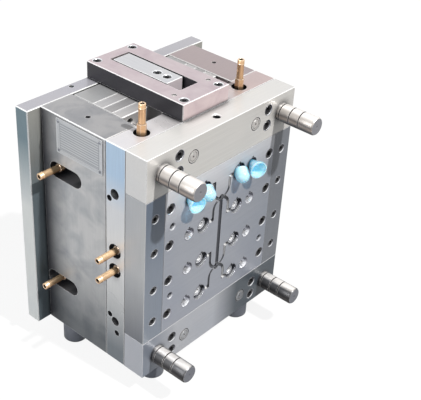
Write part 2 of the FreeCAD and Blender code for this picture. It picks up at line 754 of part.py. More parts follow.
def sleeve_plate():
    body = pack_plate(y_sleeve, y_backing)
    cuts = pack_clear(y_sleeve, y_backing)
    for x, z in big_places:
        cuts.append(rod_y(x, z, sleeve_d + 2 * thread_gap, y_sleeve - 1, y_backing))
        cuts.append(rod_y(x, z, sleeve_head_d + 1, y_backing - sleeve_head_t, y_backing + 1))
    cuts += [rod_y(x, z, bush_d, y_sleeve - 1, y_backing + 1) for x, z in pack_guide_places]
    cuts += [rod_y(x, z, bush_flange_d, y_backing - bush_flange_t, y_backing + 1)
             for x, z in pack_guide_places]
    cuts += [rod_y(x, z, pack_screw + 2 * screw_gap, y_sleeve - 1, y_backing + 1)
             for x, z in pack_screw_places]
    cuts += block_taps(y_sleeve, y_backing)
    return body.cut(cuts)


def backing_plate():
    body = pack_plate(y_backing, y_base)
    cuts = pack_clear(y_backing, y_base, False)
    cuts += [rod_y(x, z, pack_guide_d + 4, y_backing - 1, y_base + 1)
             for x, z in pack_guide_places]
    cuts += [rod_y(x, z, pack_screw + 2 * screw_gap, y_backing - 1, y_base + 1)
             for x, z in pack_screw_places]
    return body.cut(cuts)


def base_plate():
    body = pack_plate(y_base, y_pack_r)
    cuts = pack_clear(y_base, y_pack_r, False)
    cuts += [rod_y(x, z, pack_guide_d + 4, y_base - 1, y_pack_r + 1)
             for x, z in pack_guide_places]
    cuts += [put(screw_hole(pack_screw, head_sink, y_pack_r - y_base + 1),
                 vec(x, y_pack_r, z), rear) for x, z in pack_screw_places]
    cuts.append(thread_hole(rod_thread_d, rod_thread_t, vec(0, y_pack_r, 0), front))
    for z in pack_nipple_z:
        cuts.append(rod_x(pack_nipple_y, z, nipple_thread + 2 * thread_gap, -pack_w - 1,
                          -pack_w + pack_nipple_in + 1))
        cuts.append(rod_x(pack_nipple_y, z, water_d, -pack_w, -pack_w + pack_nipple_in + 8))
    return body.cut(cuts)


# ---------------------------------------------------------------- small parts
def nipple(base, hex_at, hex_t, length):
    """Hose nipple along +Z: thread below 0, hexagon from hex_at, plain stem to length."""
    r = nipple_d / 2
    z = length - 2 * lip_l
    stem = revolved([(nipple_bore / 2, -base), (nipple_thread / 2, -base),
                     (nipple_thread / 2, 0), (r, 0), (r, z), (r + nipple_lip, z + lip_l / 2),
                     (r, z + lip_l), (r, length - 1.2), (r - 1.2, length),
                     (nipple_bore / 2, length)])
    nut = hexagon(nipple_hex, hex_t).translated(vec(0, 0, hex_at))
    round_off = cone(nipple_hex * 1.16, nipple_hex * 0.98, 1.5, vec(0, 0, hex_at + hex_t - 1.5), up)
    round_off = round_off.fuse(Part.makeCylinder(nipple_hex, hex_t - 1.5, vec(0, 0, hex_at)))
    nut = nut.common(round_off).cut(Part.makeCylinder(nipple_bore / 2, hex_t, vec(0, 0, hex_at)))
    return stem.fuse(nut).removeSplitter()


def limit_bracket():
    z0 = half_h
    body = plate(-bracket_w / 2, bracket_w / 2, y_bracket, 0, z0, z0 + bracket_h, 1.0)
    window = Part.makeBox(window_w, window_rear - window_front, bracket_h + 2,
                          vec(-window_w / 2, window_front, z0 - 1))
    window = window.makeFillet(2.0, [e for e in window.Edges
                                     if abs(e.tangentAt(e.FirstParameter).z) > 0.9])
    cuts = [window]
    cuts += [put(screw_hole(bracket_screw, head_sink, bracket_h + 1),
                 vec(x, y, z0 + bracket_h), up) for x, y in bracket_screw_places]
    cuts += [rod_z(x, y, bracket_dowel_d, z0 - 1, z0 + bracket_h + 1)
             for x, y in bracket_dowel_places]
    return body.cut(cuts)


def limit_block():
    z0, z1 = pack_h, half_h + bracket_h - block_low
    body = plate(-block_w / 2, block_w / 2, block_front, block_rear, z0, z1, 0.8)
    cuts = [put(screw_hole(block_screw, head_sink, z1 - z0 + 1), vec(0, y, z1), up)
            for y in block_screw_y]
    for y0, y1 in ((block_front - 1, y_pin), (y_pack_r, block_rear + 1)):
        cuts.append(Part.makeBox(block_w + 2, y1 - y0, block_step + 1,
                                 vec(-block_w / 2 - 1, y0, z0 - 1)))
    return body.cut(cuts)


def name_plate():
    face = Part.makeBox(label_t, label_w, label_h,
                        vec(-half_w - label_t, label_y - label_w / 2, label_z - label_h / 2))
    face = face.makeFillet(label_radius, [e for e in face.Edges
                                          if abs(e.tangentAt(e.FirstParameter).x) > 0.9])
    inner = Part.makeBox(0.4, label_w - 8, label_h - 8,
                         vec(-half_w - label_t - 0.1, label_y - label_w / 2 + 4,
                             label_z - label_h / 2 + 4))
    pads = [rod_x(y, z, rivet_d + 2, -half_w - label_t, -half_w) for y, z in rivet_places()]
    holes = [rod_x(y, z, rivet_d / 2, -half_w - 3, -half_w + 1) for y, z in rivet_places()]
    return face.cut(inner).fuse(pads).removeSplitter().cut(holes)


def rivet(y, z):
    """Round-head drive rivet whose shank fills its hole in plate and block."""
    r = rivet_d / 2
    head = revolved([(0, 0), (r, 0), (r * 0.8, rivet_t * 0.7), (r * 0.35, rivet_t), (0, rivet_t)])
    shank = Part.makeCylinder(rivet_d / 4, 5 + label_t, vec(0, 0, -5 - label_t))
    return put(head.fuse(shank), vec(-half_w - label_t, y, z), left)


def foot():
    """Round foot below Z = 0 with a pocket for its screw."""
    r = foot_d / 2
    c = foot_chamfer
    body = revolved([(0, 0), (r - 0.6, 0), (r, -0.6), (r, -foot_h + c), (r - c, -foot_h),
                     (0, -foot_h)])
    hole = put(screw_hole(foot_screw, foot_sink, foot_h + 1), vec(0, 0, -foot_h), down)
    return body.cut(hole)


def dome_profile(r_open, r_tip, length):
    """Half outline of a thimble from its open edge to its axis: a taper, then a true arc."""
    round_end = length - r_tip
    middle = vec(r_tip * math.sin(math.pi / 4), 0, round_end + r_tip * math.cos(math.pi / 4))
    return [Part.makeLine(vec(r_open, 0, 0), vec(r_tip, 0, round_end)),
            Part.Arc(vec(r_tip, 0, round_end), middle, vec(0, 0, length)).toShape()]


def dome_cap():
    """Thimble-shaped moulding along +Z: open end at 0, round end with a small eye."""
    outer = dome_profile(cap_d / 2, cap_tip_d / 2, cap_len)
    inner = dome_profile(cap_d / 2 - cap_wall, cap_tip_d / 2 - cap_wall, cap_len - cap_wall)
    edge = Part.makeLine(vec(cap_d / 2 - cap_wall, 0, 0), vec(cap_d / 2, 0, 0))
    crown = Part.makeLine(vec(0, 0, cap_len), vec(0, 0, cap_len - cap_wall))
    wire = Part.Wire(Part.__sortEdges__([edge] + outer + [crown] + inner))
    shell = Part.Face(wire).revolve(vec(0, 0, 0), vec(0, 0, 1), 360)
    return shell.cut(Part.makeCylinder(cap_hole / 2, cap_len + 1))


def cup_cap():
    """Flared cup along +Z: closed small end at 0, open rim outwards."""
    rb, rr = cup_base_d / 2, cup_rim_d / 2
    w = cup_wall
    band = cup_len - cup_rim_t
    return revolved([(0, 0), (rb, 0), (rr - 0.6, band), (rr, band), (rr, cup_len),
                     (rr - w, cup_len), (rr - w, band), (rb - w + 1, w), (0, w)])


def leaning(shape, x, z, out, shift, dip, swing):
    """Set a moulding loosely at (x, z): dip is its droop, swing its turn to -X.

    Its base stands out of the parting face, and is pushed back against the lean by shift.
    """
    a, b = math.radians(dip), math.radians(swing)
    way = vec(-math.sin(b) * math.cos(a), -math.cos(b) * math.cos(a), -math.sin(a))
    lean = vec(way.x, 0, way.z)
    lean.normalize()
    return put(shape, vec(x, y_part - out, z) - lean * shift, way)


def dome_at(x, dip, swing):
    """A thimble tipped over its core: the deep edge rests on the core and by the wall."""
    tilt = math.acos(math.cos(math.radians(dip)) * math.cos(math.radians(swing)))
    r = cap_d / 2
    deep = core_low - cap_seat
    shift = r * math.cos(tilt) + deep * math.tan(tilt) - (big_d / 2 - cap_seat)
    return leaning(dome_cap(), x, top_row, r * math.sin(tilt) - deep, shift, dip, swing)


def cup_at(x, dip, swing):
    """A cup sunk in its cavity until its flared side leans on the mouth."""
    tilt = math.acos(math.cos(math.radians(dip)) * math.cos(math.radians(swing)))
    r = cup_base_d / 2
    flare = math.atan((cup_rim_d / 2 - 0.6 - r) / (cup_len - cup_rim_t))
    room = small_d / 2 - cap_seat - r * math.cos(tilt)
    sink = room / math.tan(tilt + flare) - r * math.sin(tilt)
    return leaning(cup_cap(), x, top_row, -sink, 0, dip, swing)


# ---------------------------------------------------------------- build and export
export("clamping_plate", clamping_plate())
export("spacer_block_near", spacer_block(-1))
export("spacer_block_far", spacer_block(1))
export("support_plate", support_plate())
export("top_bar", parting_bar(1))
export("bottom_bar", parting_bar(-1))
export("side_strip_near", side_strip(-1))
export("side_strip_far", side_strip(1))
export("cavity_insert", cavity_insert())

export("guide_pins", [put(guide_pin(), vec(x, y_part, z), front) for x, z in guide_places])
export("core_pins", [put(core_pin(), vec(x, -head_sink - set_screw_t, z), front)
                     for x, z in big_places])
plug = Part.makeCylinder(set_screw_d / 2, set_screw_t).cut(hexagon(10, set_screw_t / 2 + 1)
                                                           .translated(vec(0, 0, set_screw_t / 2)))
export("core_set_screws", [put(plug, vec(x, -head_sink - set_screw_t, z), rear)
                           for x, z in big_places])
layer_reach = parting_t - head_sink + thread_in
bar_reach = parting_t - head_sink + bar_thread_in
export("bar_screws", [put(cap_screw(bar_screw, bar_reach), vec(x, y_part + head_sink, z), front)
                      for x, z in bar_places])
export("strip_screws", [put(cap_screw(strip_screw, layer_reach),
                            vec(x, y_part + head_sink, z), front) for x, z in strip_places])
export("insert_screws", [put(cap_screw(insert_screw, layer_reach),
                             vec(x, y_part + head_sink, z), front) for x, z in insert_places])
export("parting_dowels", [rod_y(x, z, dowel_d, y_part + dowel_low, y_support + thread_in)
                          for x, z in dowel_places])
clamp_reach = clamp_t + spacer_depth - head_sink + long_thread
export("clamp_screws", [put(cap_screw(long_screw, clamp_reach), vec(x, -head_sink, z), rear)
                        for x, z in long_places])
tube = revolved([(long_screw / 2 + screw_gap, 0), (tube_dowel_d / 2, 0),
                 (tube_dowel_d / 2, tube_dowel_l), (long_screw / 2 + screw_gap, tube_dowel_l)])
export("spacer_dowels", [put(tube, vec(x, y - tube_dowel_l / 2, z), rear)
                         for x, z in tube_places for y in (y_clamp, y_spacer)])
pillar = Part.makeCylinder(pillar_d / 2, spacer_depth)
pillar = pillar.cut(thread_hole(pillar_screw, pillar_thread + 2, vec(0, 0, 0), up))
export("support_pillars", [put(pillar, vec(x, y_clamp, z), front) for x, z in pillar_places])
export("pillar_screws", [put(cap_screw(pillar_screw, clamp_t - head_sink + pillar_thread),
                             vec(x, -head_sink, z), rear) for x, z in pillar_places])
export("pack_guides", [rod_y(x, z, pack_guide_d, y_spacer - 12, y_clamp + 12)
                       for x, z in pack_guide_places])
button = Part.makeCylinder(rest_d / 2, rest_t).fuse(
    Part.makeCylinder(2.5, 10, vec(0, 0, rest_t)))
export("rest_buttons", [put(button, vec(x, y_pack_r, z), rear) for x, z in rest_places])

export("limit_bracket", limit_bracket())
bracket_reach = bracket_h - head_sink + tap_depth - 2
export("bracket_screws", [put(cap_screw(bracket_screw, bracket_reach),
                              vec(x, y, half_h + bracket_h - head_sink), up)
                          for x, y in bracket_screw_places])
export("bracket_dowels", [rod_z(x, y, bracket_dowel_d, half_h - tap_depth,
                                half_h + bracket_h - 1.5) for x, y in bracket_dowel_places])
export("name_plate", name_plate())
export("plate_rivets", [rivet(y, z) for y, z in rivet_places()])
export("feet", [foot().translated(vec(x, y, -half_h)) for x, y, reach in foot_places])
export("foot_screws", [put(cap_screw(foot_screw, foot_h - foot_sink + reach),
                           vec(x, y, -half_h - foot_h + foot_sink), down)
                       for x, y, reach in foot_places])
top_nipple = nipple(nipple_thread_l, 0, pocket_t + top_hex_out, top_nipple_out + pocket_t)
export("top_nipples", [put(top_nipple, vec(x, top_nipple_y, half_h - pocket_t), up)
                       for x in top_nipple_x])
side_nipple = nipple(nipple_thread_l, 0, nipple_hex_t, side_nipple_out + pocket_t)
export("side_nipples", [put(side_nipple, vec(-half_w + pocket_t, side_nipple_y, z), left)
                        for z in side_nipple_z])

export("pin_plate", pin_plate())
export("sleeve_plate", sleeve_plate())
export("backing_plate", backing_plate())
export("base_plate", base_plate())
export("return_pins", [put(headed_pin(return_d, return_head_d, return_head_t,
                                      y_sleeve - y_part, centre_mark_d),
                           vec(x, y_sleeve, z), front) for x, z in return_places])
export("ejector_pins", [put(headed_pin(eject_d, eject_head_d, eject_head_t,
                                       y_sleeve - y_part - small_depth, 0),
                            vec(x, y_sleeve, z), front) for x, z in small_places])
export("ejector_sleeves", [put(ejector_sleeve(), vec(x, y_backing, z), front)
                           for x, z in big_places])
bush = revolved([(pack_guide_d / 2 + run_gap, 0), (bush_flange_d / 2, 0),
                 (bush_flange_d / 2, bush_flange_t), (bush_d / 2, bush_flange_t),
                 (bush_d / 2, 2 * plate_t), (pack_guide_d / 2 + run_gap, 2 * plate_t)])
export("pack_bushes", [put(bush, vec(x, y_backing, z), front) for x, z in pack_guide_places])
pack_reach = y_pack_r - y_sleeve - head_sink + thread_in - 2
export("pack_screws", [put(cap_screw(pack_screw, pack_reach), vec(x, y_pack_r - head_sink, z),
                           rear) for x, z in pack_screw_places])
export("limit_block", limit_block())
block_reach = bracket_h + pack_top_gap - block_low - head_sink + tap_depth - 2
export("block_screws", [put(cap_screw(block_screw, block_reach),
                            vec(0, y, half_h + bracket_h - block_low - head_sink), up)
                        for y in block_screw_y])
pack_nipple_len = half_w - pack_w + pack_nipple_out
export("pack_nipples", [put(nipple(pack_nipple_in, pack_hex_x - pack_w, nipple_hex_t, pack_nipple_len),
                            vec(-pack_w, pack_nipple_y, z), left) for z in pack_nipple_z])

export("dome_cap_near", dome_at(-big_x, 14, 24))
export("dome_cap_far", dome_at(big_x, 19, 30))
export("cup_cap_near", cup_at(-small_x, 6, 12))
export("cup_cap_far", cup_at(small_x, 2, 22))
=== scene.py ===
# %% [markdown]
# # Ejector-side half of an injection mould
#
# This notebook dresses a bolted steel tool.  Every plate, pin and screw already exists as
# a fixed engineering solid; the cells below light it, give each metal its finish, dress the
# plastic caps, and put finer pins, screws, brass nipples and machined edges in place.

# %% Load the fixed frame
import bpy
import bmesh
import math
from mathutils import Matrix, Vector


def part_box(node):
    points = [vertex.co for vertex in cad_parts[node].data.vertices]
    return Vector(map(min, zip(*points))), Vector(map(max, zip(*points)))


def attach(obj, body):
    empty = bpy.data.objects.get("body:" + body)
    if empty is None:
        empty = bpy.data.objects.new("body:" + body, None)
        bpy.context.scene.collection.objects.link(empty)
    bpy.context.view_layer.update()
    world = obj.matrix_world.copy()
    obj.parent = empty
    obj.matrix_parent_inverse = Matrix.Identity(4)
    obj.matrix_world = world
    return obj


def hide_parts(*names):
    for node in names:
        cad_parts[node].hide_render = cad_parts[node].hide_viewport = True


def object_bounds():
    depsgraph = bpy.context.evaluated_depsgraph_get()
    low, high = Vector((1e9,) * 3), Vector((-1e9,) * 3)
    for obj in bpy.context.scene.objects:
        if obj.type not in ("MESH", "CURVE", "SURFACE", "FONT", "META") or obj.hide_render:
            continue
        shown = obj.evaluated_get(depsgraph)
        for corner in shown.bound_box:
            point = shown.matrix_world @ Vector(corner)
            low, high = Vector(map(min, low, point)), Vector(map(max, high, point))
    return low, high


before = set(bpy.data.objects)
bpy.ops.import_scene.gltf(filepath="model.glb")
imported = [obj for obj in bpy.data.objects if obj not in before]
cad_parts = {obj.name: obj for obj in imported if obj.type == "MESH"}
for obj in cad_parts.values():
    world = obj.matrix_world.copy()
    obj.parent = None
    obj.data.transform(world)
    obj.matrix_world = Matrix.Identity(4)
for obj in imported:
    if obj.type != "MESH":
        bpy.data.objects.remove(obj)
cad_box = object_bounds()
scene = bpy.context.scene
print("box:", [[round(v, 4) for v in corner] for corner in cad_box])

# %% [markdown]
# ## The camera
#
# The tool is seen from above its front left corner.  A camera looks along its own -Z, so
# three directions are worked out: backwards, to the right and up.  They are turned a few
# degrees about the line of sight, as a hand-held camera is, and written into one matrix.

# %% Camera
azimuth, elevation, roll = math.radians(-51.058), math.radians(33.003), math.radians(3.877)
back = Vector((math.sin(azimuth) * math.cos(elevation),
               -math.cos(azimuth) * math.cos(elevation), math.sin(elevation)))
right = Vector((0, 0, 1)).cross(back).normalized()
above = back.cross(right)
right_t = right * math.cos(roll) + above * math.sin(roll)
above_t = above * math.cos(roll) - right * math.sin(roll)
camera_data = bpy.data.cameras.new("camera")
camera_data.sensor_width = 36.0      # millimetres
camera_data.lens = 78.9007           # millimetres, a short telephoto
camera = bpy.data.objects.new("camera", camera_data)
place = Matrix((right_t, above_t, back)).transposed().to_4x4()
place.translation = Vector((-0.9433, -0.9869, 0.8391))
camera.matrix_world = place
scene.collection.objects.link(camera)
scene.camera = camera
print("lens", round(camera_data.lens, 2), "mm at", [round(v, 3) for v in place.translation])

# %% [markdown]
# ## Light and floor
#
# Ground steel is mostly made of what it reflects.  One hard-edged sun in front and above
# throws the short shadows of the pins down the parting face; large soft lamps at the left
# and above keep the sides readable.  The floor is pale, so the underside
# is never quite black.

# %% Lights
def lamp(name, kind, energy, spot, aim, size, colour):
    """A lamp at spot that looks at aim; a sun's size is an angle, a panel's is two sides."""
    data = bpy.data.lights.new(name, kind)
    data.energy = energy
    data.color = colour
    if kind == "SUN":
        data.angle = size
    else:
        data.shape = "RECTANGLE"
        data.size, data.size_y = size
    obj = bpy.data.objects.new(name, data)
    obj.location = spot
    obj.rotation_euler = (Vector(aim) - Vector(spot)).to_track_quat("-Z", "Y").to_euler()
    scene.collection.objects.link(obj)


centre = (0, -0.13, 0)               # the middle of the tool
lamp("key", "SUN", 4.1, (0.10, -1.15, 1.5), centre, math.radians(2), (1.0, 0.985, 0.96))
lamp("left_wall", "AREA", 31, (-2.0, -0.1, 0.8), centre, (1.2, 1.2), (0.97, 0.98, 1.0))
lamp("ceiling", "AREA", 4, (0.5, 0.7, 1.9), centre, (1.6, 1.6), (1.0, 0.98, 0.96))
print(len(bpy.data.lights), "lamps")

# %% [markdown]
# The world does two jobs.  Seen directly, or mirrored in metal, it is a white studio; as a
# light it is only a quiet grey, so that shadows and recesses keep their depth.

# %% World
world = bpy.data.worlds.new("studio")
scene.world = world
world.use_nodes = True
wn = world.node_tree.nodes
wl = world.node_tree.links
wn.clear()
out = wn.new("ShaderNodeOutputWorld")
white = wn.new("ShaderNodeBackground")
white.inputs["Color"].default_value = (1, 1, 1, 1)
room = wn.new("ShaderNodeBackground")
room.inputs["Color"].default_value = (0.86, 0.93, 1.0, 1)
room.inputs["Strength"].default_value = 0.14


def seen_rays(nodes, links, kinds):
    """1 for any of these kinds of ray, else 0."""
    path = nodes.new("ShaderNodeLightPath")
    socket = path.outputs[kinds[0]]
    for kind in kinds[1:]:
        either = nodes.new("ShaderNodeMath")
        either.operation = "MAXIMUM"
        links.new(socket, either.inputs[0])
        links.new(path.outputs[kind], either.inputs[1])
        socket = either.outputs[0]
    return socket


pick = wn.new("ShaderNodeMixShader")
wl.new(seen_rays(wn, wl, ["Is Camera Ray", "Is Glossy Ray", "Is Transmission Ray"]),
       pick.inputs["Fac"])
wl.new(room.outputs[0], pick.inputs[1])
wl.new(white.outputs[0], pick.inputs[2])
wl.new(pick.outputs[0], out.inputs["Surface"])
scene.view_settings.view_transform = "Standard"
print("world ready")

# %% [markdown]
# The floor is pale paint.  A share of plain white is mixed in for the camera, which lifts
# the floor to the white of the background and leaves the shadow as a soft grey.  Metal sees
# less of that white, so the foot of the block mirrors the shadow it stands in.

# %% Floor
FLOOR_HALF = 4.0                     # metres from the middle to the rim
WHITE_SEEN, WHITE_MIRRORED, WHITE_GLOW = 0.74, 0.22, 1.19
low = Vector(cad_box[0])
bm = bmesh.new()
bmesh.ops.create_grid(bm, x_segments=1, y_segments=1, size=FLOOR_HALF)
bmesh.ops.translate(bm, verts=bm.verts, vec=(0, 0, low.z))
floor_mesh = bpy.data.meshes.new("floor")
bm.to_mesh(floor_mesh)
bm.free()
floor = bpy.data.objects.new("floor", floor_mesh)
scene.collection.objects.link(floor)
floor_mat = bpy.data.materials.new("pale_floor")
floor_mat.use_nodes = True
fn, fl = floor_mat.node_tree.nodes, floor_mat.node_tree.links
paint = fn["Principled BSDF"]
paint.inputs["Base Color"].default_value = (0.40, 0.40, 0.40, 1)
paint.inputs["Roughness"].default_value = 0.9
glow = fn.new("ShaderNodeEmission")
glow.inputs["Color"].default_value = (1, 1, 1, 1)
glow.inputs["Strength"].default_value = WHITE_GLOW
mix = fn.new("ShaderNodeMixShader")
direct = fn.new("ShaderNodeMath")
direct.operation = "MULTIPLY"
direct.inputs[1].default_value = WHITE_SEEN
mirrored = fn.new("ShaderNodeMath")
mirrored.operation = "MULTIPLY_ADD"
mirrored.inputs[1].default_value = WHITE_MIRRORED
fl.new(seen_rays(fn, fl, ["Is Camera Ray"]), direct.inputs[0])
fl.new(seen_rays(fn, fl, ["Is Glossy Ray", "Is Transmission Ray"]), mirrored.inputs[0])
fl.new(direct.outputs[0], mirrored.inputs[2])
fl.new(mirrored.outputs[0], mix.inputs["Fac"])
fl.new(paint.outputs[0], mix.inputs[1])
fl.new(glow.outputs[0], mix.inputs[2])
fl.new(mix.outputs[0], fn["Material Output"].inputs["Surface"])
floor_mesh.materials.append(floor_mat)
print("floor at", round(low.z, 4))

# %% [markdown]
# ## Ground and polished metals
#
# A surface grinder leaves fine parallel lines, a milling cutter leaves wider cloudy bands,
# and handling leaves soft smears.  One node recipe draws all three: stretched noise for the
# lay of the grinding, a large soft noise for the smears, and a bevel mask that paints a
# highlight on sharp edges.  Recesses get painted shade: ambient occlusion darkens them.
# Everything reads Object coordinates, so the pattern stays in the metal.

# %% Small node helpers
finishes = {}


def node(tree, kind, **values):
    """A new node with some of its settings."""
    made = tree.nodes.new(kind)
    for key, value in values.items():
        setattr(made, key, value)
    return made


def ramp_to(tree, socket, low_at, high_at, low=0.0, high=1.0):
    """A straight, clamped ramp from one range of values to another."""
    made = node(tree, "ShaderNodeMapRange")
    for key, value in (("From Min", low_at), ("From Max", high_at), ("To Min", low),
                       ("To Max", high)):
        made.inputs[key].default_value = value
    tree.links.new(socket, made.inputs["Value"])
    return made.outputs[0]


def times(tree, a, b):
    """Product of a socket and another socket or number."""
    made = node(tree, "ShaderNodeMath", operation="MULTIPLY")
    tree.links.new(a, made.inputs[0])
    if isinstance(b, (int, float)):
        made.inputs[1].default_value = b
    else:
        tree.links.new(b, made.inputs[1])
    return made.outputs[0]


def blend(tree, factor, a, b, how="MIX"):
    """Colour mix; the factor is a socket or a number, a and b are sockets or colours."""
    made = node(tree, "ShaderNodeMix", data_type="RGBA", blend_type=how)
    if isinstance(factor, float):
        made.inputs["Factor"].default_value = factor
    else:
        tree.links.new(factor, made.inputs["Factor"])
    for name, value in (("A", a), ("B", b)):
        if isinstance(value, tuple):
            made.inputs[name].default_value = (*value, 1)
        else:
            tree.links.new(value, made.inputs[name])
    return made.outputs["Result"]


def noise(tree, vector, scale, **more):
    """Strength of a noise pattern at a place."""
    made = node(tree, "ShaderNodeTexNoise")
    made.inputs["Scale"].default_value = scale
    for key, value in more.items():
        made.inputs[key].default_value = value
    tree.links.new(vector, made.inputs["Vector"])
    return made.outputs["Fac"]


print("helpers ready")

# %% [markdown]
# Masks place a finish on part of a plate.  `facing` is 1 on faces that look along one axis,
# such as a side left black from the mill; `along` fades between two heights or depths.
# `on`, `fade` and `both` are the same masks as recipes, ready for any material.

# %% Masks
X, Y, Z = 0, 1, 2


def split_xyz(tree, socket):
    """The three parts of a vector."""
    made = node(tree, "ShaderNodeSeparateXYZ")
    tree.links.new(socket, made.inputs[0])
    return made.outputs


def facing(tree, axis, sign):
    """1 on faces that look along an axis, or against it."""
    normal = node(tree, "ShaderNodeTexCoord").outputs["Normal"]
    return ramp_to(tree, times(tree, split_xyz(tree, normal)[axis], float(sign)), 0.75, 0.85)


def along(tree, axis, start, end):
    """From 0 at start to 1 at end, in metres along an axis."""
    where = node(tree, "ShaderNodeTexCoord").outputs["Object"]
    return ramp_to(tree, split_xyz(tree, where)[axis], start, end)


def turned_down(tree):
    """1 on the sides and underside of a round part, 0 on its top."""
    normal = node(tree, "ShaderNodeTexCoord").outputs["Normal"]
    return ramp_to(tree, split_xyz(tree, normal)[Z], 0.97, 0.78)


def on(axis, sign):
    return lambda tree: facing(tree, axis, sign)


def fade(axis, start, end):
    return lambda tree: along(tree, axis, start, end)


def both(one, other):
    return lambda tree: times(tree, one(tree), other(tree))


print("masks ready")

# %% [markdown]
# Steel shows its surroundings.  Here that is a painted reflection: a turned face is coloured
# as if it mirrored a dark room below and beside it and a bright sky above, so its tone follows
# the height it looks at.  A broken edge gets a painted highlight and shade: white where it
# looks up, dark where it looks sideways or down.

# %% Painted reflections of turned faces and painted highlights of broken edges
def painted_reflection_tone(tree, reflection_bands, clouds):
    """Painted reflection tone of a turned face, from bands of (height, tone); clouds make the bands
    waver.
    """
    normal = split_xyz(tree, node(tree, "ShaderNodeTexCoord").outputs["Normal"])
    height = node(tree, "ShaderNodeMath", operation="MULTIPLY_ADD")
    tree.links.new(normal[Z], height.inputs[0])
    height.inputs[1].default_value = 0.5
    tree.links.new(ramp_to(tree, clouds, 0.3, 0.7, 0.44, 0.56), height.inputs[2])
    bands = node(tree, "ShaderNodeValToRGB")
    stops = bands.color_ramp.elements
    stops.remove(stops[0])
    stops[0].position = 0.0
    for at, tone in reflection_bands:
        stops.new(at).color = (*tone, 1)
    stops.remove(stops[0])
    tree.links.new(height.outputs[0], bands.inputs["Fac"])
    return bands.outputs["Color"]


def painted_edge_glint(tree, strength):
    """Mask of the faces that lie askew to all three axes, and their painted highlight and shade."""
    normal = node(tree, "ShaderNodeTexCoord").outputs["Normal"]
    size = node(tree, "ShaderNodeVectorMath", operation="ABSOLUTE")
    tree.links.new(normal, size.inputs[0])
    parts = split_xyz(tree, size.outputs[0])
    widest = parts[X]
    for part in (parts[Y], parts[Z]):
        larger = node(tree, "ShaderNodeMath", operation="MAXIMUM")
        tree.links.new(widest, larger.inputs[0])
        tree.links.new(part, larger.inputs[1])
        widest = larger.outputs[0]
    upwards = node(tree, "ShaderNodeVectorMath", operation="DOT_PRODUCT")
    upwards.inputs[1].default_value = (0.0, -0.04, 0.9)
    tree.links.new(normal, upwards.inputs[0])
    tone = blend(tree, ramp_to(tree, upwards.outputs["Value"], -0.05, 0.32),
                 (0.03, 0.03, 0.035), (1.0, 1.0, 1.0))
    return ramp_to(tree, widest, 0.95, 0.88, 0, strength), tone


print("mirrors ready")

# %% Metal recipe
HOLLOW_SHADE_BLACK = (0.02, 0.02, 0.025)
EDGE_HIGHLIGHT_WHITE = (0.97, 0.97, 0.97)


def metal(name, colour, rough=0.36, lay=(1, 60, 60), grain=0.08, smear=0.10, edge=0.5,
          metallic=0.35, bump=0.10, tint=(0.78, 0.82, 0.90), hollow_shade=0.8, reach=0.007,
          zones=(), over=(), reflection_bands=None, edge_glint=0.0, patch=9):
    """Make one finish and keep it under its name.

    lay squeezes the grinding lines along each axis; grain is their contrast and bump their
    relief.  smear is how far the smears take on the tint, and patch how small they are.
    edge paints a highlight on sharp edges, and edge_glint paints highlight and shade on broken
    ones.  hollow_shade paints shade in recesses up to reach metres from a corner.  zones are
    (mask, tone) pairs that multiply the colour, and over holds pairs that replace it.
    reflection_bands holds the bands of painted reflection that a turned face gets.
    """
    mat = bpy.data.materials.new(name)
    mat.use_nodes = True
    tree = mat.node_tree
    shader = tree.nodes["Principled BSDF"]
    shader.inputs["Metallic"].default_value = metallic
    where = node(tree, "ShaderNodeTexCoord").outputs["Object"]
    stretch = node(tree, "ShaderNodeMapping")
    stretch.inputs["Scale"].default_value = lay
    tree.links.new(where, stretch.inputs["Vector"])
    lines = noise(tree, stretch.outputs[0], 14, Detail=4)
    clouds = noise(tree, where, patch, Detail=3, Distortion=0.6)
    # darker and lighter lines of the grinding, then the smears
    look = blend(tree, lines, tuple(c * (1 - 2 * grain) for c in colour),
                 tuple(min(1, c * (1 + grain)) for c in colour))
    stain = ramp_to(tree, clouds, 0.42, 0.72, 0, min(1.0, smear * 4))
    look = blend(tree, stain, look, tint, "MULTIPLY")
    for mask, shade in zones:
        look = blend(tree, mask(tree), look, shade, "MULTIPLY")
    if reflection_bands:
        look = blend(tree, 1.0, look, painted_reflection_tone(tree, reflection_bands, clouds), "MULTIPLY")
    # painted highlight and shade on broken edges
    if edge_glint:
        mask, tone = painted_edge_glint(tree, edge_glint)
        look = blend(tree, mask, look, tone)
    for mask, shade in over:
        look = blend(tree, mask(tree), look, shade)
    # painted shade: ambient occlusion darkens recesses
    hollow = node(tree, "ShaderNodeAmbientOcclusion", samples=8)
    hollow.inputs["Distance"].default_value = reach
    look = blend(tree, ramp_to(tree, hollow.outputs["AO"], 0.92, 0.50, 0, hollow_shade), look,
                 HOLLOW_SHADE_BLACK)
    # painted highlight: sharp edges are whitened as if they caught the light
    bevel = node(tree, "ShaderNodeBevel", samples=4)
    bevel.inputs["Radius"].default_value = 0.0015
    dot = node(tree, "ShaderNodeVectorMath", operation="DOT_PRODUCT")
    tree.links.new(bevel.outputs[0], dot.inputs[0])
    tree.links.new(node(tree, "ShaderNodeNewGeometry").outputs["Normal"], dot.inputs[1])
    look = blend(tree, ramp_to(tree, dot.outputs["Value"], 0.995, 0.90, 0, edge), look,
                 EDGE_HIGHLIGHT_WHITE)
    tree.links.new(look, shader.inputs["Base Color"])
    gloss = ramp_to(tree, clouds, 0.3, 0.7, rough * 0.82, min(1, rough * 1.2))
    tree.links.new(gloss, shader.inputs["Roughness"])
    relief = node(tree, "ShaderNodeBump")
    relief.inputs["Strength"].default_value = bump
    relief.inputs["Distance"].default_value = 0.0003
    tree.links.new(lines, relief.inputs["Height"])
    tree.links.new(relief.outputs[0], shader.inputs["Normal"])
    finishes[name] = mat


print("recipe ready")

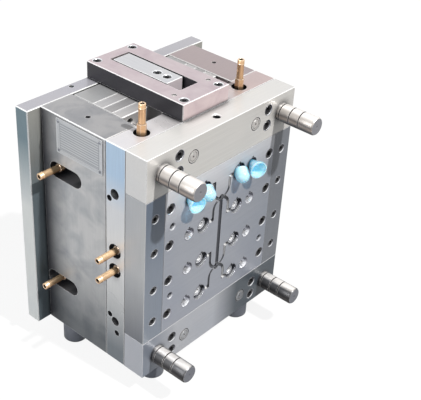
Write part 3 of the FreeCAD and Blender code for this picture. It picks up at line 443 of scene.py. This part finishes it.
# %% [markdown]
# The runner and its gate pockets are milled into the insert.  Two masks find their floors
# by depth and by distance from the middle line; the runner floor gets painted shade and the
# gate pocket floors a painted highlight.  A third draws the rules and the border of
# the name plate, which is left bare.

# %% Masks of the channels
insert_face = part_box("cavity_insert")[0][1]
POCKET_NEAR, POCKET_FAR = 0.0190, 0.0262      # gate pockets, from the middle line


def deep_between(tree, near, far):
    """Channel floors of the insert whose distance from the middle line is near to far."""
    where = node(tree, "ShaderNodeTexCoord").outputs["Object"]
    off = node(tree, "ShaderNodeMath", operation="ABSOLUTE")
    tree.links.new(split_xyz(tree, where)[X], off.inputs[0])
    across = times(tree, ramp_to(tree, off.outputs[0], near - 0.0002, near + 0.0002),
                   ramp_to(tree, off.outputs[0], far + 0.0002, far - 0.0002))
    return times(tree, across, along(tree, Y, insert_face + 0.0003, insert_face + 0.0007))


def runner_floor(tree):
    return deep_between(tree, -1.0, POCKET_NEAR)


def gate_floor(tree):
    return deep_between(tree, POCKET_NEAR, POCKET_FAR)


print("channel masks ready")

# %% Name plate
RULES = 11
MARGIN, BORDER = 0.007, 0.0012                # metres
label_low, label_high = (Vector(corner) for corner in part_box("name_plate"))


def label_rules(tree):
    """Etched rules of the bare name plate: thin level lines inside a thin border."""
    where = split_xyz(tree, node(tree, "ShaderNodeTexCoord").outputs["Object"])
    inside = []
    for axis in (Y, Z):
        middle = (label_low[axis] + label_high[axis]) / 2
        half = (label_high[axis] - label_low[axis]) / 2 - MARGIN
        off = node(tree, "ShaderNodeMath", operation="SUBTRACT")
        tree.links.new(where[axis], off.inputs[0])
        off.inputs[1].default_value = middle
        size = node(tree, "ShaderNodeMath", operation="ABSOLUTE")
        tree.links.new(off.outputs[0], size.inputs[0])
        inside.append((ramp_to(tree, size.outputs[0], half, half - 0.0002),
                       ramp_to(tree, size.outputs[0], half - BORDER, half - BORDER - 0.0002)))
    within = times(tree, inside[0][0], inside[1][0])
    core = times(tree, inside[0][1], inside[1][1])
    border = node(tree, "ShaderNodeMath", operation="SUBTRACT")
    tree.links.new(within, border.inputs[0])
    tree.links.new(core, border.inputs[1])
    wave = node(tree, "ShaderNodeMath", operation="PINGPONG")
    wave.inputs[1].default_value = (label_high[Z] - label_low[Z] - 2 * MARGIN) / RULES / 2
    tree.links.new(where[Z], wave.inputs[0])
    rules = times(tree, core, ramp_to(tree, wave.outputs[0], 0.0009, 0.0005))
    drawn = node(tree, "ShaderNodeMath", operation="MAXIMUM")
    tree.links.new(border.outputs[0], drawn.inputs[0])
    tree.links.new(rules, drawn.inputs[1])
    return drawn.outputs[0]


print("name plate with", RULES, "rules")

# %% [markdown]
# Each plate was ground on its own, so each has its own grey.  Zones paint light and shade on
# single faces: the upright faces get painted shade towards the feet, and tops, fronts and
# sides are lightened or darkened for how the light falls on them.  The bracket is still
# black from the mill on its left and right.

# %% Plate finishes
def foot_shade(shade, start=-0.03, end=-0.175):
    """Zone of painted shade that darkens the left side of a plate towards its foot."""
    return both(on(X, -1), fade(Z, start, end)), shade


# painted reflection bands for turned steel: dark where a face looks down, white where it looks up
PAINTED_STEEL_REFLECTION = ((0.0, (0.06, 0.06, 0.07)), (0.28, (0.15, 0.15, 0.16)), (0.42, (0.46, 0.40, 0.36)),
            (0.56, (0.20, 0.19, 0.19)), (0.70, (0.48, 0.46, 0.44)), (0.84, (0.62, 0.60, 0.575)),
            (0.94, (1.0, 1.0, 1.0)), (1.0, (1.0, 1.0, 1.0)))
# GROUND and SEAM set how strongly the painted highlights and shade show on edges
GROUND = 0.62                        # how strongly a ground plate shows its broken edges
SEAM = {"edge_glint": 0.28, "edge": 0.15}       # plates that meet in a tight seam show less
metal("pin_plate_steel", (0.47, 0.455, 0.45), edge_glint=GROUND)
metal("sleeve_plate_steel", (0.33, 0.32, 0.32), edge_glint=GROUND)
metal("backing_plate_steel", (0.45, 0.44, 0.44), edge_glint=GROUND)
metal("base_plate_steel", (0.345, 0.345, 0.345), edge_glint=GROUND)
metal("far_spacer_steel", (0.345, 0.285, 0.29), edge_glint=GROUND)
# Painted shade darkens the left face towards its foot and its rear, and the top is darkened for how
# the light falls on it.
metal("near_spacer_steel", (0.50, 0.50, 0.50), edge_glint=GROUND, rough=0.42,
      lay=(60, 60, 1), smear=0.20, reach=0.03, hollow_shade=0.95, tint=(0.62, 0.65, 0.69), patch=26,
      zones=[foot_shade((0.24, 0.26, 0.28)),
             (on(Z, 1), (0.64, 0.635, 0.65)),
             (both(on(X, -1), fade(Y, -0.085, -0.03)), (0.27, 0.27, 0.28))])
# Painted light and shade: the top is darker, the front is in painted shade that lightens towards
# its upper edge, and the left face darkens towards its top.
metal("clamp_steel", (0.62, 0.64, 0.63), edge_glint=GROUND, lay=(60, 60, 1),
      zones=[(on(Z, 1), (0.64, 0.61, 0.67)),
             (on(Y, -1), (0.20, 0.24, 0.27)),
             (both(on(Y, -1), fade(Z, 0.05, 0.19)), (3.0, 2.4, 2.0)),
             (both(on(X, -1), fade(Z, 0.03, 0.15)), (0.24, 0.33, 0.38))])
# Painted shade darkens the left face towards its foot.  The top is darker and pinker towards the
# far end, and the upper band of the left face is darker and bluer.
metal("support_steel", (0.66, 0.66, 0.655), edge_glint=GROUND, rough=0.32, lay=(60, 60, 1),
      reach=0.016, hollow_shade=0.95,
      zones=[foot_shade((0.24, 0.27, 0.30), -0.02),
             (on(Z, 1), (0.98, 0.95, 0.97)),
             (both(on(Z, 1), fade(X, 0.0, 0.12)), (0.80, 0.66, 0.63)),
             (both(on(X, -1), fade(Z, 0.09, 0.15)), (0.66, 0.86, 1.08))])
metal("bar_steel", (0.60, 0.59, 0.575), edge_glint=GROUND, reach=0.018, hollow_shade=0.97,
      metallic=0.12, rough=0.34, smear=0.06,
      zones=[(on(Y, -1), (0.95, 0.94, 0.925))])
# Painted shade darkens the front towards its right end and, less, towards its left end.
metal("low_bar_steel", (0.39, 0.40, 0.43), **SEAM, metallic=0.12, rough=0.36,
      zones=[(both(on(Y, -1), fade(X, 0.0, 0.06)), (0.16, 0.19, 0.21)),
             (both(on(Y, -1), fade(X, -0.09, -0.15)), (0.50, 0.54, 0.60))])
# Painted shade darkens the left face towards its foot and makes the front darker and bluer; the
# upper front gets a painted shadow of the guide pin above.
metal("near_strip_steel", (0.40, 0.405, 0.41), **SEAM, metallic=0.12, lay=(60, 60, 1),
      zones=[foot_shade((0.18, 0.20, 0.25), 0.0, -0.16),
             (on(Y, -1), (0.50, 0.56, 0.66)),
             (both(on(Y, -1), fade(Z, 0.0, 0.10)), (0.55, 0.62, 0.70))])
metal("far_strip_steel", (0.155, 0.165, 0.185), **SEAM, metallic=0.12, lay=(60, 60, 1))
# Painted light and shade on the parting face: darker towards the right and a little towards the
# bottom, lighter near the top.  The runner floor gets painted shade, the gate pocket floors a
# painted highlight.
metal("insert_steel", (0.295, 0.310, 0.350), **SEAM, metallic=0.12, rough=0.34,
      hollow_shade=0.9, reach=0.006,
      over=[(runner_floor, (0.075, 0.08, 0.095)), (gate_floor, (0.92, 0.92, 0.92))],
      zones=[(fade(Z, -0.02, -0.15), (0.98, 0.98, 1.0)),
             (fade(X, 0.0, 0.12), (0.80, 0.82, 0.84)),
             (fade(Z, 0.060, 0.122), (2.0, 1.9, 1.75))])
metal("core_steel", (0.56, 0.57, 0.61), rough=0.18, grain=0.03, smear=0.02, metallic=0.5,
      hollow_shade=0.98, reach=0.0022, edge_glint=0.9)
# Painted reflection bands; the sides and undersides of the lower pins get painted shade.
metal("bearing_steel", (0.82, 0.79, 0.765), rough=0.36, lay=(60, 1, 60), grain=0.05,
      smear=0.03, metallic=0.45, hollow_shade=0.7, bump=0.04, reflection_bands=PAINTED_STEEL_REFLECTION,
      zones=[(both(turned_down, fade(Z, 0.05, -0.10)), (0.14, 0.15, 0.17))])
metal("return_pin_steel", (0.52, 0.495, 0.475), rough=0.34, grain=0.04, smear=0.04,
      zones=[(fade(Z, 0.0, -0.10), (0.62, 0.67, 0.74)),
             (both(fade(Z, 0.0, -0.10), fade(X, 0.0, 0.07)), (0.50, 0.52, 0.54))])
metal("bracket_steel", (0.49, 0.42, 0.44), edge_glint=GROUND, rough=0.40, lay=(60, 1, 60),
      tint=(0.80, 0.76, 0.80), grain=0.06, smear=0.2, patch=24,
      zones=[(on(Y, -1), (1.38, 1.33, 1.28)),
             (on(X, -1), (0.08, 0.09, 0.10)),
             (on(X, 1), (0.08, 0.09, 0.10))])
metal("block_steel", (0.53, 0.53, 0.545), edge_glint=GROUND, rough=0.34, lay=(60, 1, 60),
      zones=[(on(Y, -1), (1.7, 1.5, 1.5))])
print(len(finishes), "plate finishes")

# %% Small part finishes
metal("black_oxide", (0.030, 0.030, 0.033), rough=0.40, grain=0.04, edge=0.25, metallic=0.8,
      hollow_shade=0.8, reach=0.004)
metal("foot_steel", (0.135, 0.145, 0.17), rough=0.42, lay=(60, 60, 2), edge=0.3)
# painted reflection bands for the brass nipples
PAINTED_BRASS_REFLECTION = ((0.0, (0.30, 0.22, 0.18)), (0.35, (0.60, 0.50, 0.44)), (0.55, (0.80, 0.72, 0.66)),
             (0.75, (1.0, 1.0, 1.0)), (1.0, (1.0, 1.0, 1.0)))
metal("brass", (0.88, 0.62, 0.38), rough=0.24, lay=(40, 40, 40), grain=0.05, smear=0.05,
      tint=(0.92, 0.80, 0.62), edge=0.35, metallic=0.6, reflection_bands=PAINTED_BRASS_REFLECTION)
metal("label_metal", (0.50, 0.51, 0.52), rough=0.42, lay=(60, 2, 60), edge=0.5,
      zones=[(label_rules, (0.56, 0.57, 0.59))])
print(len(finishes), "finishes in all")

# %% [markdown]
# ## Giving each node its metal
#
# The frame's objects keep their shape; only the material in their slot changes.

# %% Assign finishes
wearing = {
    "pin_plate_steel": ["pin_plate", "rest_buttons"],
    "sleeve_plate_steel": ["sleeve_plate"],
    "backing_plate_steel": ["backing_plate", "support_pillars"],
    "base_plate_steel": ["base_plate"],
    "far_spacer_steel": ["spacer_block_far"],
    "near_spacer_steel": ["spacer_block_near"],
    "clamp_steel": ["clamping_plate"],
    "support_steel": ["support_plate"],
    "bar_steel": ["top_bar"],
    "low_bar_steel": ["bottom_bar"],
    "near_strip_steel": ["side_strip_near"],
    "far_strip_steel": ["side_strip_far", "parting_dowels"],
    "insert_steel": ["cavity_insert"],
    "core_steel": ["core_pins", "ejector_sleeves", "ejector_pins"],
    "bearing_steel": ["guide_pins", "pack_guides", "pack_bushes",
                      "bracket_dowels", "spacer_dowels"],
    "return_pin_steel": ["return_pins"],
    "bracket_steel": ["limit_bracket"],
    "block_steel": ["limit_block"],
    "black_oxide": ["bar_screws", "strip_screws", "insert_screws", "clamp_screws",
                    "pillar_screws", "core_set_screws", "pack_screws", "bracket_screws",
                    "block_screws", "foot_screws"],
    "foot_steel": ["feet", "plate_rivets"],
    "brass": ["top_nipples", "side_nipples", "pack_nipples"],
    "label_metal": ["name_plate"],
}


def dress(part, mat):
    """Put one material in every slot of a frame object."""
    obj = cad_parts[part]
    if not obj.material_slots:
        obj.data.materials.append(mat)
    for one in obj.material_slots:
        one.material = mat


for finish, names in wearing.items():
    for part in names:
        dress(part, finishes[finish])
print(sum(len(v) for v in wearing.values()), "nodes dressed")

# %% [markdown]
# ## Turned pieces
#
# Pins, screws and nipples are all turned or pressed round an axis.  One helper skins
# a stack of rings: each ring is a radius and a height, and either may depend on the angle.
# A constant radius gives a turned face, and a hexagon's radius gives a nut or a key socket.

# %% Ring skin
MM = 0.001


def skin(rings, steps=48):
    """Mesh skinned over rings of (radius, height) in millimetres, about Z."""
    bm = bmesh.new()
    loop = bmesh.ops.create_circle(bm, segments=steps, radius=1)["verts"]
    angles = {v: math.atan2(v.co.y, v.co.x) for v in loop}
    order = sorted(loop, key=angles.get)
    turn = [angles[v] for v in order]
    for k, (radius, height) in enumerate(rings):
        if k:
            edges = [bm.edges.get((order[i - 1], order[i])) for i in range(steps)]
            ahead = bmesh.ops.extrude_edge_only(bm, edges=edges)["geom"]
            new = [v for v in ahead if isinstance(v, bmesh.types.BMVert)]
            near = {}
            for v in new:
                for e in v.link_edges:
                    other = e.other_vert(v)
                    if other in angles:
                        near[other] = v
            order = [near[v] for v in order]
            angles = dict(zip(order, turn))
        for v, t in zip(order, turn):
            r = radius(t) if callable(radius) else radius
            h = height(t) if callable(height) else height
            v.co = (r * MM * math.cos(t), r * MM * math.sin(t), h * MM)
            if r == 0:
                v.co = (1e-9 * math.cos(t), 1e-9 * math.sin(t), h * MM)
    bmesh.ops.remove_doubles(bm, verts=bm.verts, dist=1e-7)
    bmesh.ops.recalc_face_normals(bm, faces=bm.faces)
    return bm


def hexed(across):
    """Radius of a hexagon of that width across its flats, at any angle."""
    return lambda t: across / 2 / math.cos((t + math.pi / 6) % (math.pi / 3) - math.pi / 6)


print("ring skin ready")

# %% [markdown]
# The fixed frame already says where every pin and screw stands.  `islands` splits a node's
# mesh into its separate solids and reads the box of each, so no place is typed twice.

# %% Places and assembly
def islands(part):
    """Lowest and highest corner of each separate solid of a node, in metres."""
    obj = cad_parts[part]
    bm = bmesh.new()
    bm.from_mesh(obj.data)
    bmesh.ops.remove_doubles(bm, verts=bm.verts, dist=1e-6)
    todo, boxes = set(bm.verts), []
    while todo:
        group, fresh = set(), [todo.pop()]
        while fresh:
            v = fresh.pop()
            group.add(v)
            ahead = [e.other_vert(v) for e in v.link_edges]
            fresh += [w for w in ahead if w in todo]
            todo -= set(ahead)
        spots = [obj.matrix_world @ v.co for v in group]
        boxes.append((Vector([min(p[i] for p in spots) for i in range(3)]),
                      Vector([max(p[i] for p in spots) for i in range(3)])))
    bm.free()
    return sorted(boxes, key=lambda b: tuple(round(c, 4) for c in b[0]))


def stand(place, way):
    """Matrix that puts +Z along way, with its origin at place."""
    turn = Vector((0, 0, 1)).rotation_difference(way)
    return Matrix.Translation(place) @ turn.to_matrix().to_4x4()


def piece(name, copies, mats, body, smooth_below=35):
    """One object out of (mesh, matrix) copies; edges over the angle stay crisp."""
    whole = bmesh.new()
    for source, matrix in copies:
        one = bpy.data.meshes.new("one")
        source.to_mesh(one)
        one.transform(matrix)
        whole.from_mesh(one)
        bpy.data.meshes.remove(one)
    for face in whole.faces:
        face.smooth = True
    for edge in whole.edges:
        edge.smooth = edge.is_manifold and edge.calc_face_angle(0) < math.radians(smooth_below)
    mesh = bpy.data.meshes.new(name)
    whole.to_mesh(mesh)
    whole.free()
    for mat in mats:
        mesh.materials.append(mat)
    obj = bpy.data.objects.new(name, mesh)
    scene.collection.objects.link(obj)
    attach(obj, body)
    return obj


FRONT, REAR, UP, DOWN, LEFT = (Vector(v) for v in
                               ((0, -1, 0), (0, 1, 0), (0, 0, 1), (0, 0, -1), (-1, 0, 0)))
y_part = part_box("cavity_insert")[0][1]
print("parting face at", round(y_part, 4), "with", len(islands("guide_pins")), "guide pins")

# %% [markdown]
# A guide pin is turned and ground.  Its three grooves hold oil and lie in shade, so they are
# painted dark, and the sawn-off end face is duller than the ground cylinder.

# %% Guide pins
metal("groove_oil_and_shade", (0.10, 0.085, 0.075), rough=0.5, edge=0.0, metallic=0.3)
# The end faces of the lower pins get painted shade.
metal("pin_end", (0.25, 0.25, 0.27), rough=0.45, lay=(40, 1, 40), edge=0.0, grain=0.05,
      zones=[(fade(Z, 0.05, -0.10), (0.62, 0.64, 0.68))])
pin_r, pin_out, groove_t = 15.0, 70.0, 0.9
head_r, head_low, head_top = 18, -41, -35
rings = [(0, head_low), (head_r, head_low), (head_r, head_top), (pin_r, head_top)]
for at in (5.0, 24.0, 42.0):         # grooves, from the parting face
    rings += [(pin_r, at), (pin_r - groove_t, at + 0.3), (pin_r - groove_t, at + 1.8),
              (pin_r, at + 2.1)]
rings += [(pin_r, pin_out - 2.5), (pin_r - 1.1, pin_out - 0.5), (pin_r - 1.6, pin_out),
          (2.2, pin_out), (0, pin_out - 2)]
pin = skin(rings, 64)
for face in pin.faces:
    middle = face.calc_center_median()
    high, wide = middle.z / MM, middle.xy.length / MM
    in_groove = high > 0 and wide < pin_r - 0.2 and high < pin_out - 3
    face.material_index = 1 if in_groove else 2 if high > pin_out - 2.1 and wide < 13.2 else 0
copies = []
for lowest, highest in islands("guide_pins"):
    middle = (lowest + highest) / 2
    copies.append((pin, stand((middle.x, y_part, middle.z), FRONT)))
turned_pins = piece("turned_guide_pins", copies, [finishes["bearing_steel"],
                    finishes["groove_oil_and_shade"], finishes["pin_end"]], "mould_frame")
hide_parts("guide_pins")
print(len(copies), "guide pins,", len(turned_pins.data.polygons), "faces")

# %% [markdown]
# A return pin ends flush in the bar.  Its broken edge and centre mark are all that shows; they
# and a ring groove take the dark groove finish as painted shade.

# %% Return pins
return_r, return_head_r, return_head_t = 11.0, 14, 8
lowest, highest = islands("return_pins")[0]
reach_out = (highest.y - lowest.y) / MM
ret = skin([(0, -reach_out), (return_head_r, -reach_out),
            (return_head_r, return_head_t - reach_out), (return_r, return_head_t - reach_out),
            (return_r, -1.3), (return_r - 1.2, 0), (return_r - 3.4, 0), (return_r - 3.6, -0.25),
            (return_r - 4.2, -0.25), (return_r - 4.4, 0), (1.6, 0), (0, -1.4)], 48)
for face in ret.faces:
    middle = face.calc_center_median()
    wide = middle.xy.length / MM
    face.material_index = int(middle.z / MM > -1.2 and (wide > return_r - 1.25 or wide < 1.5
                              or return_r - 4.3 < wide < return_r - 3.5))
copies = []
for lowest, highest in islands("return_pins"):
    middle = (lowest + highest) / 2
    copies.append((ret, stand((middle.x, lowest.y, middle.z), FRONT)))
made = piece("detailed_return_pins", copies, [finishes["return_pin_steel"],
             finishes["groove_oil_and_shade"]], "ejector_pack")
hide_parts("return_pins")
print(len(copies), "return pins")

# %% [markdown]
# ## Polished cavities
#
# Each cavity is spark-eroded and polished.  Its rim and wall get a painted reflection, bright
# where they look up and dark where they look down, and the floor of a small cavity gets
# painted shade.  The linings lie a few hundredths of a millimetre inside the machined pockets.

# %% Cavity linings
# painted reflection bands on the polished rims and walls
metal("cavity_polish", (0.84, 0.85, 0.88), rough=0.16, grain=0.02, smear=0.02, edge=0.0,
      metallic=0.75, hollow_shade=0.96, reach=0.005, bump=0.0,
      reflection_bands=((0.0, (0.05, 0.05, 0.06)), (0.40, (0.10, 0.10, 0.12)), (0.52, (0.36, 0.36, 0.39)),
           (0.70, (0.80, 0.80, 0.82)), (0.80, (1.0, 1.0, 1.0)), (1.0, (1.0, 1.0, 1.0))))
# Painted shade for the floor and hidden back of a small cavity.
metal("cavity_dark", (0.055, 0.058, 0.065), rough=0.4, edge=0.0, metallic=0.4, hollow_shade=0.5)
rim_out, land = 0.05, 0.9            # how far a rim stands out, and how wide it is
big_r, big_t = 12.85, 4.7
small_r, floor_r, bore_r, small_t = 9.72, 5.5, 3.4, 10.9
under = 11.3                         # depth of the hidden back of a small lining
cores = islands("core_pins")
big_spots = [((lo + hi) / 2).xz for lo, hi in cores]
small_x = max(((lo + hi) / 2).x for lo, hi in islands("ejector_pins"))
small_spots = [Vector((math.copysign(small_x, spot.x), spot.y)) for spot in big_spots]
big = skin([(big_r, -big_t), (big_r, 0.0), (big_r + 0.03, rim_out), (big_r + land, rim_out),
            (big_r + land, 0.01), (big_r, -big_t)], 64)
small = skin([(bore_r, -small_t), (floor_r, -small_t), (floor_r + 0.1, 0.3 - small_t),
              (small_r, -0.1), (small_r + 0.08, rim_out), (small_r + 0.98, rim_out),
              (small_r + 0.98, 0.01), (floor_r + 0.5, -under), (bore_r, -under),
              (bore_r, -small_t)], 64)
for face in small.faces:
    face.material_index = int(face.calc_center_median().z / MM < -10.5)
copies = [(big, stand((spot.x, y_part, spot.y), FRONT)) for spot in big_spots]
copies += [(small, stand((spot.x, y_part, spot.y), FRONT)) for spot in small_spots]
piece("cavity_linings", copies, [finishes["cavity_polish"], finishes["cavity_dark"]],
      "mould_frame", 60)
print(len(copies), "cavity linings")

# %% [markdown]
# Socket head screws share one recipe.  Head sizes follow the metric table: the head is as
# tall as the thread is wide, and the key is about 0.8 of it.  The rim is chamfered, the side
# is knurled, and the socket is a true hexagon with a drilled cone under it.

# %% Socket head screws
THREAD = {24: 16, 18: 12, 16: 10, 13: 8, 10: 6, 8.5: 5}
KEY = {16: 14, 12: 10, 10: 8, 8: 6, 6: 5, 5: 4}
# Painted shade: the key socket is painted near black.
metal("socket_black", (0.006, 0.006, 0.007), rough=0.8, edge=0.0, grain=0.02, metallic=0.3)


def standard_head(across):
    """Head width in the table that lies nearest to a measured one."""
    return min(THREAD, key=lambda d: abs(d - across))


def cap_screw(across, length):
    """Screw with the standard head nearest to that width, top of the head at 0."""
    head_d = standard_head(across)
    size = THREAD[head_d]
    r, key = head_d / 2, KEY[size]
    shank = max(size / 2 - 0.05, 1)
    knurl = (lambda t: r - 0.18 * (round(t / (2 * math.pi / 48)) % 2))
    rings = [(0, -length), (shank - 0.8, -length), (shank, -length + 0.8), (shank, -size),
             (r - 0.4, -size), (knurl, -size + 0.5), (knurl, -1.0), (r - 0.9, 0),
             (key * 0.62, 0), (hexed(key), -0.5), (hexed(key), -0.55 * size),
             (key * 0.3, -0.55 * size - 0.2), (0, -0.55 * size - 1.0)]
    made = skin(rings, 48)
    for face in made.faces:
        middle = face.calc_center_median()
        face.material_index = int(middle.xy.length / MM < key * 0.6 and middle.z / MM > -size)
    return made


HOLDS = {"bracket_screws": "limit_bracket", "block_screws": "limit_block"}
total = 0
mouths = {"mould_frame": [], "ejector_pack": []}
for part, way, body in (("bar_screws", FRONT, "mould_frame"),
                        ("strip_screws", FRONT, "mould_frame"),
                        ("insert_screws", FRONT, "mould_frame"),
                        ("bracket_screws", UP, "mould_frame"), ("block_screws", UP, "ejector_pack"),
                        ("clamp_screws", REAR, "mould_frame"),
                        ("pack_screws", REAR, "ejector_pack"),
                        ("foot_screws", DOWN, "mould_frame")):
    axis = max(range(3), key=lambda k: abs(way[k]))
    across = (axis + 1) % 3
    copies = []
    for lowest, highest in islands(part):
        size = highest - lowest
        top = (lowest + highest) / 2
        top[axis] = highest[axis] if way[axis] > 0 else lowest[axis]
        copies.append((cap_screw(size[across] / MM, size[axis] / MM), stand(top, way)))
        if way in (FRONT, UP):
            hole = standard_head(size[across] / MM) / 2 + 1.0
            ring = skin([(hole - 0.95, -1.1), (hole - 0.03, 0.0), (hole + 0.1, 0.04),
                         (hole + 0.6, 0.04), (hole + 0.65, 0.0), (hole - 0.95, -1.1)], 48)
            top[axis] = y_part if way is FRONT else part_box(HOLDS[part])[1][axis]
            mouths[body].append((ring, stand(top, way)))
    made = piece("detailed_" + part, copies, [finishes["black_oxide"], finishes["socket_black"]],
                 body, 30)
    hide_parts(part)
    total += len(copies)
print(total, "socket head screws")

# %% [markdown]
# The mouth of each counterbore is deburred with a cone.  It wears the polished finish, whose
# painted reflection makes the cone's upward-looking lower half the bright crescent under
# every dark screw head.

# %% Deburred mouths
for body, name in (("mould_frame", "deburred_mouths"), ("ejector_pack", "deburred_block_mouths")):
    piece(name, mouths[body], [finishes["cavity_polish"]], body, 60)
    print(len(mouths[body]), "mouths on", body)

# %% [markdown]
# A hose nipple is turned from hexagon bar: the corners of the hexagon are chamfered by a
# cone, which is why each flat ends in an arc, and a low bead holds the hose.

# %% Hose nipples
def nipple(base, hex_at, hex_t, length):
    """Nipple along +Z with its shoulder at 0, thread below and plain stem above."""
    across, stem, bore = 13.0, 5.5, 3.25
    root, crest = 5.55, 6.0
    corner = hexed(across)
    top = hex_at + hex_t
    inner = across / 2 * 0.98
    low_edge = (lambda t: hex_at + (corner(t) - inner) * 0.5)
    top_edge = (lambda t: top - (corner(t) - inner) * 0.577)
    thread = []
    for k in range(int(base) - 1):
        thread += [(root, -base + 0.5 + k), (crest, -base + 1.0 + k)]
    rings = ([(bore, -base), (5.2, -base)] + thread +
             [(root, 0), (stem, 0), (stem, hex_at), (inner, hex_at), (corner, low_edge),
              (corner, top_edge), (inner, top), (stem, top)])
    bead = length - 7
    rings += [(stem, bead - 1), (stem + 0.15, bead - 0.6), (stem + 0.4, bead),
              (stem + 0.15, bead + 0.6), (stem, bead + 1), (stem, length - 1.2),
              (stem - 0.35, length - 0.4), (stem - 1.2, length), (bore + 0.4, length),
              (bore, length - 0.5), (bore, -base)]
    return skin(rings, 48)


print("nipple recipe ready")

# %% Fit the nipples
mould_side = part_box("support_plate")
for part, way, body, base, hex_at, hex_t in (
        ("top_nipples", UP, "mould_frame", 12, 0.0, 26.0),
        ("side_nipples", LEFT, "mould_frame", 12, 0.0, 8.0),
        ("pack_nipples", LEFT, "ejector_pack", 18, 46.0, 8.0)):
    axis = max(range(3), key=lambda k: abs(way[k]))
    copies = []
    for lowest, highest in islands(part):
        middle = (lowest + highest) / 2
        end = highest[axis] if way[axis] > 0 else lowest[axis]
        length = (highest[axis] - lowest[axis]) / MM - base
        middle[axis] = end - way[axis] * length * MM
        copies.append((nipple(base, hex_at, hex_t, length), stand(middle, way)))
    made = piece("detailed_" + part, copies, [finishes["brass"]], body, 30)
    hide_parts(part)
    print(part, len(copies), "of length", round(length, 1))

# %% [markdown]
# ## Moulded caps
#
# The caps are a clear blue plastic.  Thin plastic looks pale where it faces the eye and
# deep blue where the eye looks along the wall, so the colour follows a facing weight.
# Light that passes through is tinted too, which gives the steel below a blue shadow.

# %% Cap plastic
plastic = bpy.data.materials.new("clear_blue_plastic")
plastic.use_nodes = True
soft = plastic.node_tree.nodes["Principled BSDF"]
soft.inputs["Roughness"].default_value = 0.10
soft.inputs["Transmission Weight"].default_value = 0.30
soft.inputs["Subsurface Weight"].default_value = 0.45
soft.inputs["Subsurface Radius"].default_value = (0.002, 0.007, 0.009)
soft.inputs["Coat Weight"].default_value = 0.5
# Painted glow: a faint cyan emission lights the caps from within.
soft.inputs["Emission Color"].default_value = (0.35, 0.85, 1.0, 1)
soft.inputs["Emission Strength"].default_value = 0.10
tree = plastic.node_tree
look_along = node(tree, "ShaderNodeLayerWeight")
look_along.inputs["Blend"].default_value = 0.35
swirl = noise(tree, node(tree, "ShaderNodeTexCoord").outputs["Object"], 70)
pale = blend(tree, ramp_to(tree, swirl, 0.35, 0.65), (0.54, 0.87, 0.95), (0.76, 0.95, 1.0))
hue = blend(tree, ramp_to(tree, look_along.outputs["Facing"], 0.25, 0.95), pale,
            (0.10, 0.52, 0.74))
# Painted shade: hollows of the caps darken to deep blue by ambient occlusion.
shade = node(tree, "ShaderNodeAmbientOcclusion", samples=8)
shade.inputs["Distance"].default_value = 0.009
hue = blend(tree, ramp_to(tree, shade.outputs["AO"], 0.75, 0.25), hue, (0.02, 0.26, 0.46))
tree.links.new(hue, soft.inputs["Base Color"])
through = node(tree, "ShaderNodeBsdfTransparent")
through.inputs["Color"].default_value = (0.42, 0.74, 0.95, 1)
share = times(tree, seen_rays(tree.nodes, tree.links, ["Is Shadow Ray"]), 0.65)
mixed = node(tree, "ShaderNodeMixShader")
tree.links.new(share, mixed.inputs["Fac"])
tree.links.new(soft.outputs[0], mixed.inputs[1])
tree.links.new(through.outputs[0], mixed.inputs[2])
tree.links.new(mixed.outputs[0], tree.nodes["Material Output"].inputs["Surface"])
finishes["plastic"] = plastic
for part in ("dome_cap_near", "dome_cap_far", "cup_cap_near", "cup_cap_far"):
    dress(part, plastic)
print("caps dressed")
